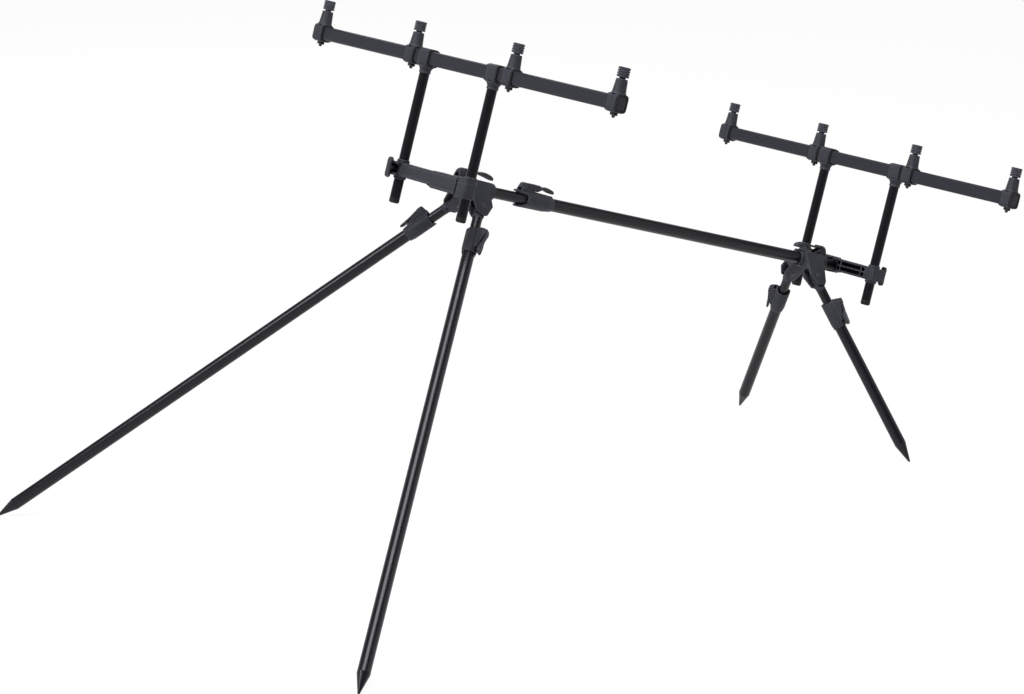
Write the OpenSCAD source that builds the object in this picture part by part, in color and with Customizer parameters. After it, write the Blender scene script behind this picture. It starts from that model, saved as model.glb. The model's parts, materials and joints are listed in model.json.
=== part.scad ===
// Rod pod: a sloping telescopic main bar on four telescopic folding legs, with a
// height-adjustable goal post and buzz bar at each end.
// Everything is built in the bar frame: X runs along the main bar from the front hub to the
// rear hub, Z stands square to the bar. The whole pod is then leaned over so that its four
// spikes stand on level ground. The front faces -X, left is -Y and right is +Y.

/* [Main bar] */
// Distance between the front and the rear leg pivots
hub_span = 695; // [560:1:900]
// Outside diameter of the main outer tube
main_outer_d = 19; // [18.6:0.1:21]
// Wall of the main outer tube
main_wall = 1; // [0.8:0.1:1.2]
// Outside diameter of the main inner tube and of the arm stems
main_inner_d = 16.4; // [14:0.1:16.4]
// Front end of the main clamp, behind the front pivots
main_clamp_x = 85; // [80:1:120]
// Length of the main clamp collar
main_clamp_len = 66; // [56:1:76]
// Outside radius of the main clamp collar
main_clamp_r = 12.5; // [12:0.1:14]
// How far the inner tube reaches past the front pivots to the rear
main_inner_reach = 600; // [400:1:640]

/* [Hubs] */
// Length of the hub collar outboard of the pivots
hub_outboard = 35; // [32:1:40]
// Length of the front hub collar inboard of the pivots
front_hub_inboard = 36; // [24:1:50]
// Length of the rear hub collar inboard of the pivots
rear_hub_inboard = 21.5; // [21.5:0.5:40]
// Outside radius of the hub collars
hub_r = 13.5; // [12.5:0.1:15]
// Tilt of the leg ears from upright
ear_splay = 34.8; // [28:0.1:38]
// Depth of the leg pivots below the bar, along the ears
pivot_drop = 35.3; // [33:0.1:40]
// Offset of the leg mid-plane from the bar axis
ear_offset = 9; // [8.9:0.1:12]
// Thickness of one ear plate
ear_t = 3.6; // [3:0.1:4]

/* [Legs] */
// Front leg length from pivot to spike tip
front_leg_len = 831; // [700:1:900]
// Rear leg length from pivot to spike tip
rear_leg_len = 322; // [290:1:420]
// Forward lean of the front legs in the ear plane
front_leg_lean = 25.8; // [20:0.1:28]
// Rearward lean of the rear legs in the ear plane
rear_leg_lean = 23.8; // [20:0.1:28]
// Outside diameter of the leg outer tubes
leg_outer_d = 18; // [17.8:0.1:19]
// Wall of the leg outer tubes
leg_wall = 1.3; // [1:0.1:1.3]
// Outside diameter of the leg inner tubes
leg_inner_d = 14.8; // [13.6:0.1:14.8]
// Wall of the leg inner tubes
leg_inner_wall = 1.2; // [1:0.1:1.4]
// Distance from the pivot to the top of the inner tube
leg_tube_start = 23; // [22.5:0.5:28]
// Distance from the pivot to the mouth of the leg clamp
leg_clamp_start = 43; // [40:1:60]
// Length of the leg clamp collar
leg_clamp_len = 45; // [42:1:60]
// Outside radius of the leg clamp collar
leg_clamp_r = 11.5; // [11.2:0.1:12.5]
// Thickness of the knuckle between the ears
knuckle_t = 10; // [8:0.1:10]
// Radius of the knuckle round its pivot
knuckle_r = 8; // [7.4:0.1:9]
// Diameter of the leg pivot pins
pivot_pin_d = 6; // [5:0.1:6.5]
// Length of the spike cone
spike_len = 30; // [20:1:45]
// Radius of the blunt spike tip
spike_tip_r = 1.5; // [1:0.1:2]

/* [Clamp levers] */
// Radius of the lever's cam end
cam_r = 5; // [4.6:0.1:5.4]
// Width of a lever between its cheeks
lever_w = 7; // [6:0.1:8]
// Width of a lever's thumb paddle
paddle_w = 12; // [10:0.1:13]
// Thickness of a lever's arm
lever_t = 4.2; // [3:0.1:4.4]
// Length of a leg clamp lever from its pin
leg_lever_len = 37; // [34:1:42]
// Length of the main clamp lever from its pin
main_lever_len = 56; // [46:1:62]
// Length of a hub lever from its pin
hub_lever_len = 58; // [50:1:62]
// Distance of the lever pin from the clamp's mouth
pin_inset = 8; // [7:0.5:10]
// Diameter of the lever pins
lever_pin_d = 4; // [3:0.1:4]
// Thickness of the cheeks beside a lever
cheek_t = 2.6; // [2:0.1:3]
// Turn of the front left leg clamp about its leg
turn_front_left = -60; // [-180:1:180]
// Turn of the front right leg clamp about its leg
turn_front_right = 120; // [-180:1:180]
// Turn of the rear left leg clamp about its leg
turn_rear_left = 105; // [-180:1:180]
// Turn of the rear right leg clamp about its leg
turn_rear_right = -40; // [-180:1:180]

/* [Goal posts] */
// Distance of the cross arms outboard of the leg pivots
arm_out = 71; // [68:0.5:90]
// Half the distance between the two uprights
post_y = 78.5; // [74:0.5:90]
// Diameter of the uprights
post_d = 15; // [14:0.1:15]
// Wall of the uprights
post_wall = 1.2; // [1:0.1:1.5]
// How far the uprights reach below the bar axis
post_below = 47.5; // [40:0.5:60]
// Height of the front buzz bar above the bar axis
front_bar_z = 166; // [130:1:200]
// Height of the rear buzz bar above the bar axis
rear_bar_z = 165.5; // [130:1:200]
// Length of the front buzz bar
front_bar_len = 695; // [640:1:800]
// Length of the rear buzz bar
rear_bar_len = 647; // [640:1:800]
// Height of the buzz bar section
bar_h = 20.4; // [18:0.1:22]
// Depth of the buzz bar section
bar_depth = 16; // [15:0.1:18]
// Corner radius of the buzz bar section
bar_corner = 4; // [2:0.1:5]
// Wall of the buzz bar
bar_wall = 1.2; // [1:0.1:1.5]

/* [Cross arms] */
// Height of the slim half of an arm
slim_h = 20; // [18:0.5:24]
// Depth of the slim half of an arm
slim_depth = 18; // [16:0.5:20]
// Height of the stout half of an arm
stout_h = 25; // [24:0.5:30]
// Depth of the stout half of an arm
stout_depth = 24; // [22:0.5:26]
// Wall of the arm channel and its flanges
arm_wall = 3; // [2.4:0.1:4]
// Thickness of the ribs in the arm channel
arm_rib = 2.2; // [1.6:0.1:3]
// Width of the block at the stout end of an arm, along the arm
block_w = 24.5; // [24:0.5:30]
// Depth of the block at the stout end of an arm
block_depth = 23.5; // [23:0.5:30]
// Height of the block at the stout end of an arm
block_h = 27; // [26:0.5:30]
// Width of the block at the slim end of an arm
slim_block_w = 21; // [20:0.5:26]
// Reach of the block at the slim end outboard of its upright
slim_block_reach = 18.5; // [14:0.5:20]
// Outside diameter of the upright guide rings
guide_d = 18.4; // [18:0.1:21]
// Height of the upright guide rings above and below the slim end's block
guide_h = 4; // [3:0.5:8]
// Outside diameter of the boss that holds the arm stem
stem_boss_d = 24; // [22:0.5:26]

/* [Rod rests] */
// Width of a rod rest's collar along the buzz bar
rest_w = 23; // [20:0.5:26]
// Gap between a tee collar and the rest beside it on the front buzz bar
front_rest_gap = 9.5; // [0.5:0.5:40]
// Gap between a tee collar and the rest beside it on the rear buzz bar
rear_rest_gap = 1.5; // [0.5:0.5:40]
// Wall of the collars round the buzz bar
collar_wall = 3; // [2.5:0.1:3.5]
// Width of a tee collar along the buzz bar
tee_w = 27; // [24:0.5:30]
// Outside diameter of the tee collar's socket
tee_socket_d = 17.2; // [17:0.1:20]
// Length of the tee collar's socket below the collar
tee_socket_len = 9; // [6:0.5:15]
// Diameter of a rest post at its foot
rest_foot_d = 20; // [18:0.1:21.5]
// Diameter of a rest post at its top
rest_top_d = 16; // [14:0.1:18]
// Height of a rest post
rest_post_h = 19.5; // [16:0.5:28]
// Gap between a rest post and its thumb nut
nut_gap = 2; // [1:0.1:4]
// Diameter of a thumb nut
nut_d = 17; // [15:0.1:19]
// Height of a thumb nut
nut_h = 14; // [10:0.5:16]
// Diameter of the alarm thread in a thumb nut
thread_d = 9.525; // [9:0.005:10]

/* [Fits] */
// Gap on the radius where one tube slides in another
slide_gap = 0.3; // [0.2:0.01:0.4]
// Gap on the radius of a turning pin
pin_gap = 0.1; // [0.05:0.01:0.15]
// Gap on the radius of a glued or bolted seat
seat_gap = 0.05; // [0.02:0.01:0.1]
// Gap beside a moving piece
side_gap = 0.3; // [0.2:0.05:0.5]

/* [Hidden] */
$fn = 48;

// Colours as the photograph shows them
tube_colour = "#2b2d31";
moulding_colour = "#3c3d41";
metal_colour = "#55565a";

// Small overlap that makes a cut or a union clean
eps = 0.05;
// Ends of the pod and sides of a hub, as signs
front = -1;
rear = 1;
left = -1;
right = 1;

// Leg pivots in the bar frame
pivot_y = pivot_drop * sin(ear_splay) + ear_offset * cos(ear_splay);
pivot_z = -pivot_drop * cos(ear_splay) + ear_offset * sin(ear_splay);

// Spike tips in the bar frame, and the lean that puts all of them on level ground
front_tip_x = -front_leg_len * sin(front_leg_lean);
front_tip_z = pivot_z - front_leg_len * cos(front_leg_lean) * cos(ear_splay);
rear_tip_x = hub_span + rear_leg_len * sin(rear_leg_lean);
rear_tip_z = pivot_z - rear_leg_len * cos(rear_leg_lean) * cos(ear_splay);
incline = atan2(rear_tip_z - front_tip_z, rear_tip_x - front_tip_x);

// Heights on the buzz bar, measured from the bar's own axis
collar_top = bar_h / 2 + collar_wall + seat_gap;
post_top = collar_top + rest_post_h;
nut_bottom = post_top + nut_gap;
nut_top = nut_bottom + nut_h;

// Origin on the ground, under the middle of the pod
pod_min_x = front_tip_x * cos(incline) + front_tip_z * sin(incline) - spike_tip_r;
pod_max_x = (hub_span + arm_out + nut_d / 2) * cos(incline) + (rear_bar_z + nut_top) * sin(incline);
origin_x = -(pod_min_x + pod_max_x) / 2;
origin_z = front_tip_x * sin(incline) - front_tip_z * cos(incline) + spike_tip_r;

// Tubes that slide in each other
main_bore_d = main_outer_d - 2 * main_wall;
leg_bore_d = leg_outer_d - 2 * leg_wall;
// Depth at which an outer tube seats in its clamp collar
clamp_seat = 16;
// Width and depth of the recess round a clamp's mouth
mouth_rim = 1.7;
mouth_depth = 3;
// Width of the slot that lets a collar close, and its reach past the tube's seat
slot_w = 2.4;
slot_reach = 4;
// Bevel at the foot of a collar
bevel_len = 3;
bevel_in = 1;
// Cheeks of a clamp: radius round the pin, depth of the foot in the collar, setback of the
// foot from the mouth, height of the back over the pin, and the thickness left at its end
cheek_r = cam_r - 0.6;
cheek_root = 3;
cheek_setback = 1.5;
cheek_back = 3;
cheek_end = 0.5;
// Main clamp's cheeks: foot and top over the collar, and front, back and undercut behind the mouth
box_foot = 1.5;
box_top = 11.6;
box_front = 10.6;
box_back = 35;
box_undercut = 24;
// Share of a collar that its cheeks take, and the length of a hub's cheeks
cheek_share = 0.8;
hub_cheek_len = 26;
// Uncut length behind a hub's slot
hub_slot_end = 12;
// Lever pin height above the collar, with air under the cam
cam_air = 1;
// Fall of a lever's arm from cam to tip, on a leg, on the main bar and on a hub
leg_lever_fall = 6;
main_lever_fall = 3.5;
hub_lever_fall = 4;
// Share of a lever that its paddle takes, and the radius of its tip
paddle_share = 0.38;
lever_tip_r = 2.5;
lever_tip_rise = 1;

// Ear plates: half the room for a knuckle, and the outline round the pivot with its clipped
// corners; the outer plate runs on to its peak beside the collar
ear_gap = knuckle_t / 2 + side_gap;
ear_out = ear_gap + ear_t;
ear_back = 22;
ear_fore = 17.5;
ear_low = 15.5;
ear_bridge_low = 11;
ear_top = 29;
ear_peak = 39;
ear_heel = [14.5, 9];
ear_sole = [10, 4];
ear_bridge_back = 16;
// Pivot pin heads
pin_head_d = 9.5;
pin_head_t = 2.5;
socket_d = 4;
socket_depth = 1.5;
// Where the main tube and the stem end in a hub, and the room between them
tube_stop = 1;
stem_room = 2;
// Length of the plugs in the leg tubes, at the knuckle and at the spike
knuckle_plug = 16;
spike_plug = 20;

// Cross arm details: where its halves begin and end, how far they sit above the bar axis,
// how far one reaches into the next, and the boss that stands inboard of the arm
slim_start = -9;
slim_rise = 2;
stout_end = 63;
stout_rise = 1;
arm_lap = 4;
boss_reach = 1;
slit_w = 2.5;
slit_depth = 5;
// Block at the stout end: rise of its top, wall round its upright, and its corners
near_rise = 2;
near_wall = 1.7;
near_round = post_d / 2 + slide_gap + near_wall;
// Upright ribs of the channel, and the depth of the socket for the stem
rib_places = [13, 58];
stem_grip = 14;
// Thumb screw on the slim end's block
screw_d = 6;
wing_h = 28;
wing_w = 12;
wing_t = 7;
wing_gap = 1;
wing_corner = 4;
// Recess round the screw, open to the middle of the arm
recess_w = 16;
recess_h = 13;
recess_depth = 7.5;

// Rest bolts and their lugs
lug_w = 8;
lug_h = 4;
lug_depth = 9;
bolt_d = 4;
bolt_head_d = 7;
bolt_head_h = 3;
bolt_socket_d = 3;
bolt_socket_depth = 2;
// Wall of an outer rest's collar that closes the bar's end
cap_t = 3;
// How far a post or a lug reaches into its collar
root_lap = 1;
spigot_d = 9;
spigot_grip = 4.7;
// Depth of the lower bore of a thumb nut, round the spigot
nut_seat = 5;
// Plain rim above and below the knurl
knurl_rim = 1.5;
knurl_count = 20;
knurl_d = 1.6;
knurl_out = 0.2;
plug_len = 8;
plug_grip = 14;
plug_nose = 3;
tee_ring_h = 2;
tee_ring_over = 0.3;
// Growth of the tee socket towards the bar
tee_flare = 3.6;

// Stands the bar frame on the ground
module on_bar() {
    translate([origin_x, 0, origin_z]) rotate([0, incline, 0]) children();
}

// Frame of one end: -X points outboard, whichever end it is
module at_end(end) {
    on_bar() translate([end == front ? 0 : hub_span, 0, 0]) rotate([0, 0, end == front ? 0 : 180]) children();
}

// Side of an end frame on which a left or right piece of the pod lies
function side_of(end, hand) = end == front ? hand : -hand;

// Frame of one leg pivot: Z up along the ears, Y square to them
module at_pivot(side) {
    rotate([side * ear_splay, 0, 0]) translate([0, side * ear_offset, -pivot_drop]) children();
}

// Frame of one leg: the leg hangs down -Z from its pivot
module at_leg(end, hand) {
    at_end(end) at_pivot(side_of(end, hand))
        rotate([0, end == front ? front_leg_lean : rear_leg_lean, 0]) children();
}

// Frame of a clamp on the bar axis: its mouth faces -X at x, its lever is on top
module at_mouth(x) {
    translate([x, 0, 0]) rotate([0, -90, 0]) children();
}

// Frame of an end's buzz bar
module at_bar(end) {
    at_end(end) translate([-arm_out, 0, end == front ? front_bar_z : rear_bar_z]) children();
}

module tube(od, id, top, bottom) {
    translate([0, 0, bottom]) difference() {
        cylinder(d = od, h = top - bottom);
        translate([0, 0, -eps]) cylinder(d = id, h = top - bottom + 2 * eps);
    }
}

// Flat shape with round corners, made of bars and discs
module round_rect(w, h, r) {
    square([w - 2 * r, h], center = true);
    square([w, h - 2 * r], center = true);
    for (x = [-1, 1], y = [-1, 1]) translate([x * (w / 2 - r), y * (h / 2 - r)]) circle(r = r);
}

// Upright block with round corners, from z = bottom to top
module round_block(w, h, r, bottom, top) {
    translate([0, 0, bottom]) linear_extrude(top - bottom) round_rect(w, h, r);
}

// Plate in the XZ plane, centred on y
module plate(y, t) {
    translate([0, y + t / 2, 0]) rotate([90, 0, 0]) linear_extrude(t) children();
}

// Cheeks that carry a lever on a collar of radius r, with a slope of length len behind the pin
module clamp_cheeks(r, len) {
    pin_x = r + cam_r + cam_air;
    for (y = [-1, 1]) difference() {
        plate(y * (lever_w / 2 + side_gap + cheek_t / 2), cheek_t) {
            translate([pin_x, -pin_inset]) circle(r = cheek_r);
            polygon([
                [r - cheek_root, -cheek_setback], [pin_x, cheek_r - pin_inset],
                [pin_x + cheek_back, -cheek_back - pin_inset],
                [r - cheek_end, -len], [r - cheek_root, -len]
            ]);
        }
        translate([pin_x, 0, -pin_inset]) rotate([90, 0, 0])
            cylinder(d = lever_pin_d + 2 * pin_gap, h = paddle_w * 2, center = true);
    }
}

// Flat-topped cheeks of the main clamp, on a ridge of length len behind the mouth
module box_cheeks(r, len) {
    pin_x = r + cam_r + cam_air;
    for (y = [-1, 1]) difference() {
        plate(y * (lever_w / 2 + side_gap + cheek_t / 2), cheek_t) {
            translate([pin_x, -pin_inset]) circle(r = cheek_r);
            polygon([
                [r - cheek_root, -cheek_setback], [r + box_foot, -box_foot],
                [r + box_top, -box_front], [r + box_top, -box_back],
                [r + box_foot, -box_undercut], [r - cheek_end, -len], [r - cheek_root, -len]
            ]);
        }
        translate([pin_x, 0, -pin_inset]) rotate([90, 0, 0])
            cylinder(d = lever_pin_d + 2 * pin_gap, h = paddle_w * 2, center = true);
    }
}

// Slot under the cam that lets a collar of radius r close
module clamp_slot(r, len) {
    translate([0, -slot_w / 2, -len]) cube([r + eps, slot_w, len + eps]);
}

// Lever with its pin, on a collar of radius r; closed, its arm lies along the tube
module clamp_lever(r, len, fall) {
    translate([r + cam_r + cam_air, 0, -pin_inset]) {
        color(moulding_colour) difference() {
            union() {
                plate(0, lever_w) {
                    circle(r = cam_r);
                    polygon([
                        [cam_r - lever_t, 0], [cam_r, 0], [cam_r - fall, -len], [cam_r - lever_t - fall, -len]
                    ]);
                }
                plate(0, paddle_w) {
                    polygon([
                        [cam_r - lever_t - fall * (1 - paddle_share), -len * (1 - paddle_share)],
                        [cam_r - fall * (1 - paddle_share), -len * (1 - paddle_share)],
                        [cam_r - fall, -len], [cam_r - lever_t - fall, -len]
                    ]);
                    translate([cam_r - fall - lever_t / 2 + lever_tip_rise, -len]) circle(r = lever_tip_r);
                }
            }
            rotate([90, 0, 0]) cylinder(d = lever_pin_d + 2 * seat_gap, h = paddle_w * 2, center = true);
        }
        color(metal_colour) rotate([90, 0, 0])
            cylinder(d = lever_pin_d, h = lever_w + 2 * side_gap + 2 * cheek_t, center = true);
    }
}

// Clamp collar glued over the end of an outer tube; its mouth faces +Z at the origin, its cheeks are children
module clamp_collar(r, len, outer_d, inner_d) {
    difference() {
        union() {
            translate([0, 0, -len]) cylinder(r1 = r - bevel_in, r2 = r, h = bevel_len);
            translate([0, 0, bevel_len - len]) cylinder(r = r, h = len - bevel_len);
            children();
        }
        translate([0, 0, -len - eps]) cylinder(d = outer_d + 2 * seat_gap, h = len - clamp_seat + eps);
        translate([0, 0, -clamp_seat - eps]) cylinder(d = inner_d + 2 * slide_gap, h = clamp_seat + 2 * eps);
        translate([0, 0, -mouth_depth]) cylinder(d = inner_d + 2 * mouth_rim, h = mouth_depth + eps);
        clamp_slot(r, clamp_seat + slot_reach);
    }
}

// Main bar

module main_inner_tube() {
    color(tube_colour) on_bar() rotate([0, 90, 0])
        tube(main_inner_d, main_inner_d - 2 * main_wall, main_inner_reach, -tube_stop);
}

module main_outer_tube() {
    color(tube_colour) on_bar() rotate([0, 90, 0])
        tube(main_outer_d, main_bore_d, hub_span - tube_stop, main_clamp_x + clamp_seat);
}

module main_clamp() {
    color(moulding_colour) on_bar() at_mouth(main_clamp_x)
        clamp_collar(main_clamp_r, main_clamp_len, main_outer_d, main_inner_d)
            box_cheeks(main_clamp_r, main_clamp_len * cheek_share);
}

module main_lever() {
    on_bar() at_mouth(main_clamp_x) clamp_lever(main_clamp_r, main_lever_len, main_lever_fall);
}

// Hubs

// Outline of one ear plate round the pivot, outboard to the left
module ear_outline(top) {
    polygon([
        [-ear_back_at(top), top], [-ear_heel[0], -ear_heel[1]], [-ear_sole[0], -ear_low],
        [ear_sole[1], -ear_low], [ear_fore, 0], [ear_fore, top]
    ]);
}

// The ears' outboard edge leans from the heel to the peak
function ear_back_at(z) =
    ear_heel[0] + (ear_back - ear_heel[0]) * (z + ear_heel[1]) / (ear_peak + ear_heel[1]);

// Two ear plates with the bridge that ties them to the collar
module ear_pair(side) {
    at_pivot(side) difference() {
        union() {
            for (y = [-1, 1]) plate(y * (ear_gap + ear_t / 2), ear_t)
                ear_outline(y == side ? ear_peak : ear_top);
            translate([-ear_bridge_back, -ear_out, ear_bridge_low])
                cube([ear_bridge_back + ear_fore, 2 * ear_out, ear_top - ear_bridge_low]);
            translate([-ear_bridge_back, side == right ? 0 : -ear_out, ear_bridge_low])
                cube([ear_bridge_back + ear_fore, ear_out, ear_peak - ear_bridge_low]);
        }
        rotate([90, 0, 0]) cylinder(d = pivot_pin_d + 2 * seat_gap, h = 4 * ear_out, center = true);
    }
}

module hub(end, inboard, tube_d) {
    color(moulding_colour) at_end(end) difference() {
        union() {
            translate([-hub_outboard, 0, 0]) rotate([0, 90, 0])
                cylinder(r = hub_r, h = hub_outboard + inboard - bevel_len);
            translate([inboard - bevel_len, 0, 0]) rotate([0, 90, 0])
                cylinder(r1 = hub_r, r2 = hub_r - bevel_in, h = bevel_len);
            at_mouth(-hub_outboard) clamp_cheeks(hub_r, hub_cheek_len);
            for (side = [-1, 1]) ear_pair(side);
        }
        translate([-tube_stop, 0, 0]) rotate([0, 90, 0])
            cylinder(d = tube_d + 2 * seat_gap, h = inboard + tube_stop + eps);
        translate([-hub_outboard - eps, 0, 0]) rotate([0, 90, 0])
            cylinder(d = main_inner_d + 2 * slide_gap, h = hub_outboard + eps);
        at_mouth(-hub_outboard) translate([0, 0, -mouth_depth])
            cylinder(d = main_inner_d + 2 * mouth_rim, h = mouth_depth + eps);
        at_mouth(-hub_outboard) clamp_slot(hub_r, hub_outboard - hub_slot_end);
    }
}

module front_hub() {
    hub(front, front_hub_inboard, main_inner_d);
}

module rear_hub() {
    hub(rear, rear_hub_inboard, main_outer_d);
}

module hub_lever(end) {
    at_end(end) at_mouth(-hub_outboard) clamp_lever(hub_r, hub_lever_len, hub_lever_fall);
}

// Pivot pins with a socket in the outer head
module leg_pins(end) {
    color(metal_colour) at_end(end) for (side = [-1, 1]) at_pivot(side) rotate([side * -90, 0, 0]) {
        translate([0, 0, -ear_out]) cylinder(d = pivot_pin_d, h = 2 * ear_out);
        difference() {
            translate([0, 0, ear_out]) cylinder(d = pin_head_d, h = pin_head_t);
            translate([0, 0, ear_out + pin_head_t - socket_depth])
                cylinder(d = socket_d, h = socket_depth + eps, $fn = 6);
        }
        translate([0, 0, -ear_out - pin_head_t]) cylinder(d = pin_head_d, h = pin_head_t);
    }
}

// Legs

// Knuckle: a tongue between the ears, a round shoulder and a plug glued into the inner tube
module knuckle(end, hand) {
    plug_d = leg_inner_d - 2 * leg_inner_wall - 2 * seat_gap;
    color(moulding_colour) at_leg(end, hand) difference() {
        union() {
            plate(0, knuckle_t) {
                circle(r = knuckle_r);
                translate([-leg_inner_d / 2, -leg_tube_start]) square([leg_inner_d, leg_tube_start]);
            }
            translate([0, 0, -leg_tube_start - knuckle_plug]) cylinder(d = plug_d, h = knuckle_plug + eps);
        }
        rotate([90, 0, 0]) cylinder(d = pivot_pin_d + 2 * pin_gap, h = 2 * knuckle_t, center = true);
    }
}

function leg_len(end) = end == front ? front_leg_len : rear_leg_len;
// Distances from the pivot at which a leg's outer tube and its spike's plug end
function tube_end(end) = leg_len(end) - spike_len;
function plug_top(end) = tube_end(end) - spike_plug;

module leg_inner_tube(end, hand) {
    color(tube_colour) at_leg(end, hand)
        tube(leg_inner_d, leg_inner_d - 2 * leg_inner_wall, -leg_tube_start, side_gap - plug_top(end));
}

module leg_outer_tube(end, hand) {
    color(tube_colour) at_leg(end, hand)
        tube(leg_outer_d, leg_bore_d, -leg_clamp_start - clamp_seat, -tube_end(end));
}

module leg_clamp(end, hand, turn) {
    color(moulding_colour) at_leg(end, hand) translate([0, 0, -leg_clamp_start]) rotate([0, 0, turn])
        clamp_collar(leg_clamp_r, leg_clamp_len, leg_outer_d, leg_inner_d)
            clamp_cheeks(leg_clamp_r, leg_clamp_len * cheek_share);
}

module leg_lever(end, hand, turn) {
    at_leg(end, hand) translate([0, 0, -leg_clamp_start]) rotate([0, 0, turn])
        clamp_lever(leg_clamp_r, leg_lever_len, leg_lever_fall);
}

module leg_spike(end, hand) {
    color(metal_colour) at_leg(end, hand) {
        translate([0, 0, -tube_end(end)]) cylinder(d = leg_bore_d - 2 * seat_gap, h = spike_plug);
        translate([0, 0, -leg_len(end)])
            cylinder(r1 = spike_tip_r, r2 = leg_outer_d / 2, h = spike_len);
        translate([0, 0, -leg_len(end)]) sphere(r = spike_tip_r);
    }
}

// Goal posts

// Cross arm: a slim ribbed half on the right of the front arm, a stout half on its left
module arm(end) {
    boss_face = stout_depth / 2 + boss_reach;
    boss_root = arm_wall - slim_depth / 2 - eps;
    color(moulding_colour) at_end(end) translate([-arm_out, 0, 0]) difference() {
        union() {
            slim_half();
            translate([-stout_depth / 2, -stout_end - slit_w, stout_rise - stout_h / 2])
                cube([stout_depth, stout_end + slit_w + slim_start + arm_lap, stout_h]);
            translate([-stout_depth / 2, -post_y, stout_rise - block_h / 2])
                cube([stout_depth - slit_depth, post_y - stout_end, block_h - stout_rise]);
            translate([near_round - block_depth / 2, block_w / 2 - post_y - near_round, 0])
                round_block(block_depth, block_w, near_round, -block_h / 2, block_h / 2 + near_rise);
            translate([0, post_y, slim_rise - slim_h / 2]) {
                translate([-slim_block_reach, -slim_block_w / 2, 0])
                    cube([slim_block_reach + slim_block_w / 2, slim_block_w, slim_h]);
                translate([0, 0, -guide_h]) cylinder(d = guide_d, h = slim_h + 2 * guide_h);
            }
            translate([boss_root, 0, 0]) rotate([0, 90, 0])
                cylinder(d = stem_boss_d, h = boss_face - boss_root);
        }
        for (y = [-1, 1]) translate([0, y * post_y, -block_h])
            cylinder(d = post_d + 2 * slide_gap, h = 2 * block_h);
        translate([-stout_depth, -stout_end - slit_w, -stout_h])
            cube([stout_depth / 2 + slit_depth, slit_w, 2 * stout_h]);
        translate([boss_face - stem_grip, 0, 0]) rotate([0, 90, 0])
            cylinder(d = main_inner_d + 2 * seat_gap, h = stem_grip + eps);
        translate([-slim_block_reach - eps, post_y - slim_block_w / 2 - eps, slim_rise - recess_h / 2])
            cube([recess_depth + eps, recess_w, recess_h]);
        translate([-slim_block_reach - eps, post_y, slim_rise]) rotate([0, 90, 0])
            cylinder(d = screw_d + 2 * pin_gap, h = slim_block_reach);
    }
}

// Slim half: a channel that opens inboard, with one level rib and two upright ribs
module slim_half() {
    len = post_y - slim_start;
    inner_h = slim_h - 2 * arm_wall;
    difference() {
        translate([-slim_depth / 2, slim_start, slim_rise - slim_h / 2]) cube([slim_depth, len, slim_h]);
        translate([arm_wall - slim_depth / 2, slim_start - eps, slim_rise - inner_h / 2])
            cube([slim_depth, len, inner_h]);
    }
    translate([-slim_depth / 2, slim_start, slim_rise - arm_rib / 2]) cube([slim_depth, len, arm_rib]);
    for (y = rib_places) translate([-slim_depth / 2, y, slim_rise - slim_h / 2])
        cube([slim_depth, arm_rib, slim_h]);
}

module stem(end) {
    color(tube_colour) at_end(end) rotate([0, 90, 0])
        tube(main_inner_d, main_inner_d - 2 * main_wall, -tube_stop - stem_room,
            stout_depth / 2 + boss_reach - stem_grip - arm_out);
}

// Wing screw that pinches one upright through the slim end's block
module arm_screw(end) {
    shank = slim_block_reach - post_d / 2 - slide_gap;
    color(metal_colour) at_end(end) translate([-arm_out - slim_block_reach, post_y, slim_rise]) {
        translate([-wing_gap, 0, 0]) rotate([0, 90, 0]) cylinder(d = screw_d, h = wing_gap + shank);
        translate([-wing_gap - wing_t / 2, 0, 0]) rotate([0, 90, 0])
            translate([0, 0, -wing_t / 2]) linear_extrude(wing_t) round_rect(wing_h, wing_w, wing_corner);
    }
}

module uprights(end) {
    color(tube_colour) at_bar(end) for (y = [-1, 1]) translate([0, y * post_y, 0])
        tube(post_d, post_d - 2 * post_wall, -collar_top, plug_len - bar_z(end) - post_below);
}

function bar_z(end) = end == front ? front_bar_z : rear_bar_z;
function bar_len(end) = end == front ? front_bar_len : rear_bar_len;
function rest_gap(end) = end == front ? front_rest_gap : rear_rest_gap;
// The outer rests close the ends of the bar, and the inner ones stand beside the tee collars
function outer_rest(end) = (bar_len(end) - rest_w) / 2 + cap_t;
function inner_rest(end) = post_y + (tee_w + rest_w) / 2 + rest_gap(end);
function rest_places(end) = [-outer_rest(end), -inner_rest(end), inner_rest(end), outer_rest(end)];

// Plugs that close the lower ends of the uprights with a round nose
module upright_plugs(end) {
    color(moulding_colour) at_end(end) for (y = [-1, 1]) translate([-arm_out, y * post_y, -post_below]) {
        translate([0, 0, plug_len]) cylinder(d = post_d - 2 * post_wall - 2 * seat_gap, h = plug_grip);
        rotate_extrude() {
            square([post_d / 2 - plug_nose, plug_len]);
            translate([0, plug_nose]) square([post_d / 2, plug_len - plug_nose]);
            intersection() {
                translate([post_d / 2 - plug_nose, plug_nose]) circle(r = plug_nose);
                square([post_d, plug_nose]);
            }
        }
    }
}

// Flat-sided section of the buzz bar, grown by g, in the XZ plane
module bar_section(g) {
    round_rect(bar_depth + 2 * g, bar_h + 2 * g, bar_corner + g);
}

// Length of section along the bar, from y = a to b
module bar_run(a, b, g) {
    translate([0, b, 0]) rotate([90, 0, 0]) linear_extrude(b - a) bar_section(g);
}

module buzz_bar(end) {
    half = bar_len(end) / 2;
    color(tube_colour) at_bar(end) difference() {
        bar_run(-half, half, 0);
        bar_run(-half - eps, half + eps, -bar_wall);
    }
}

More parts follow.
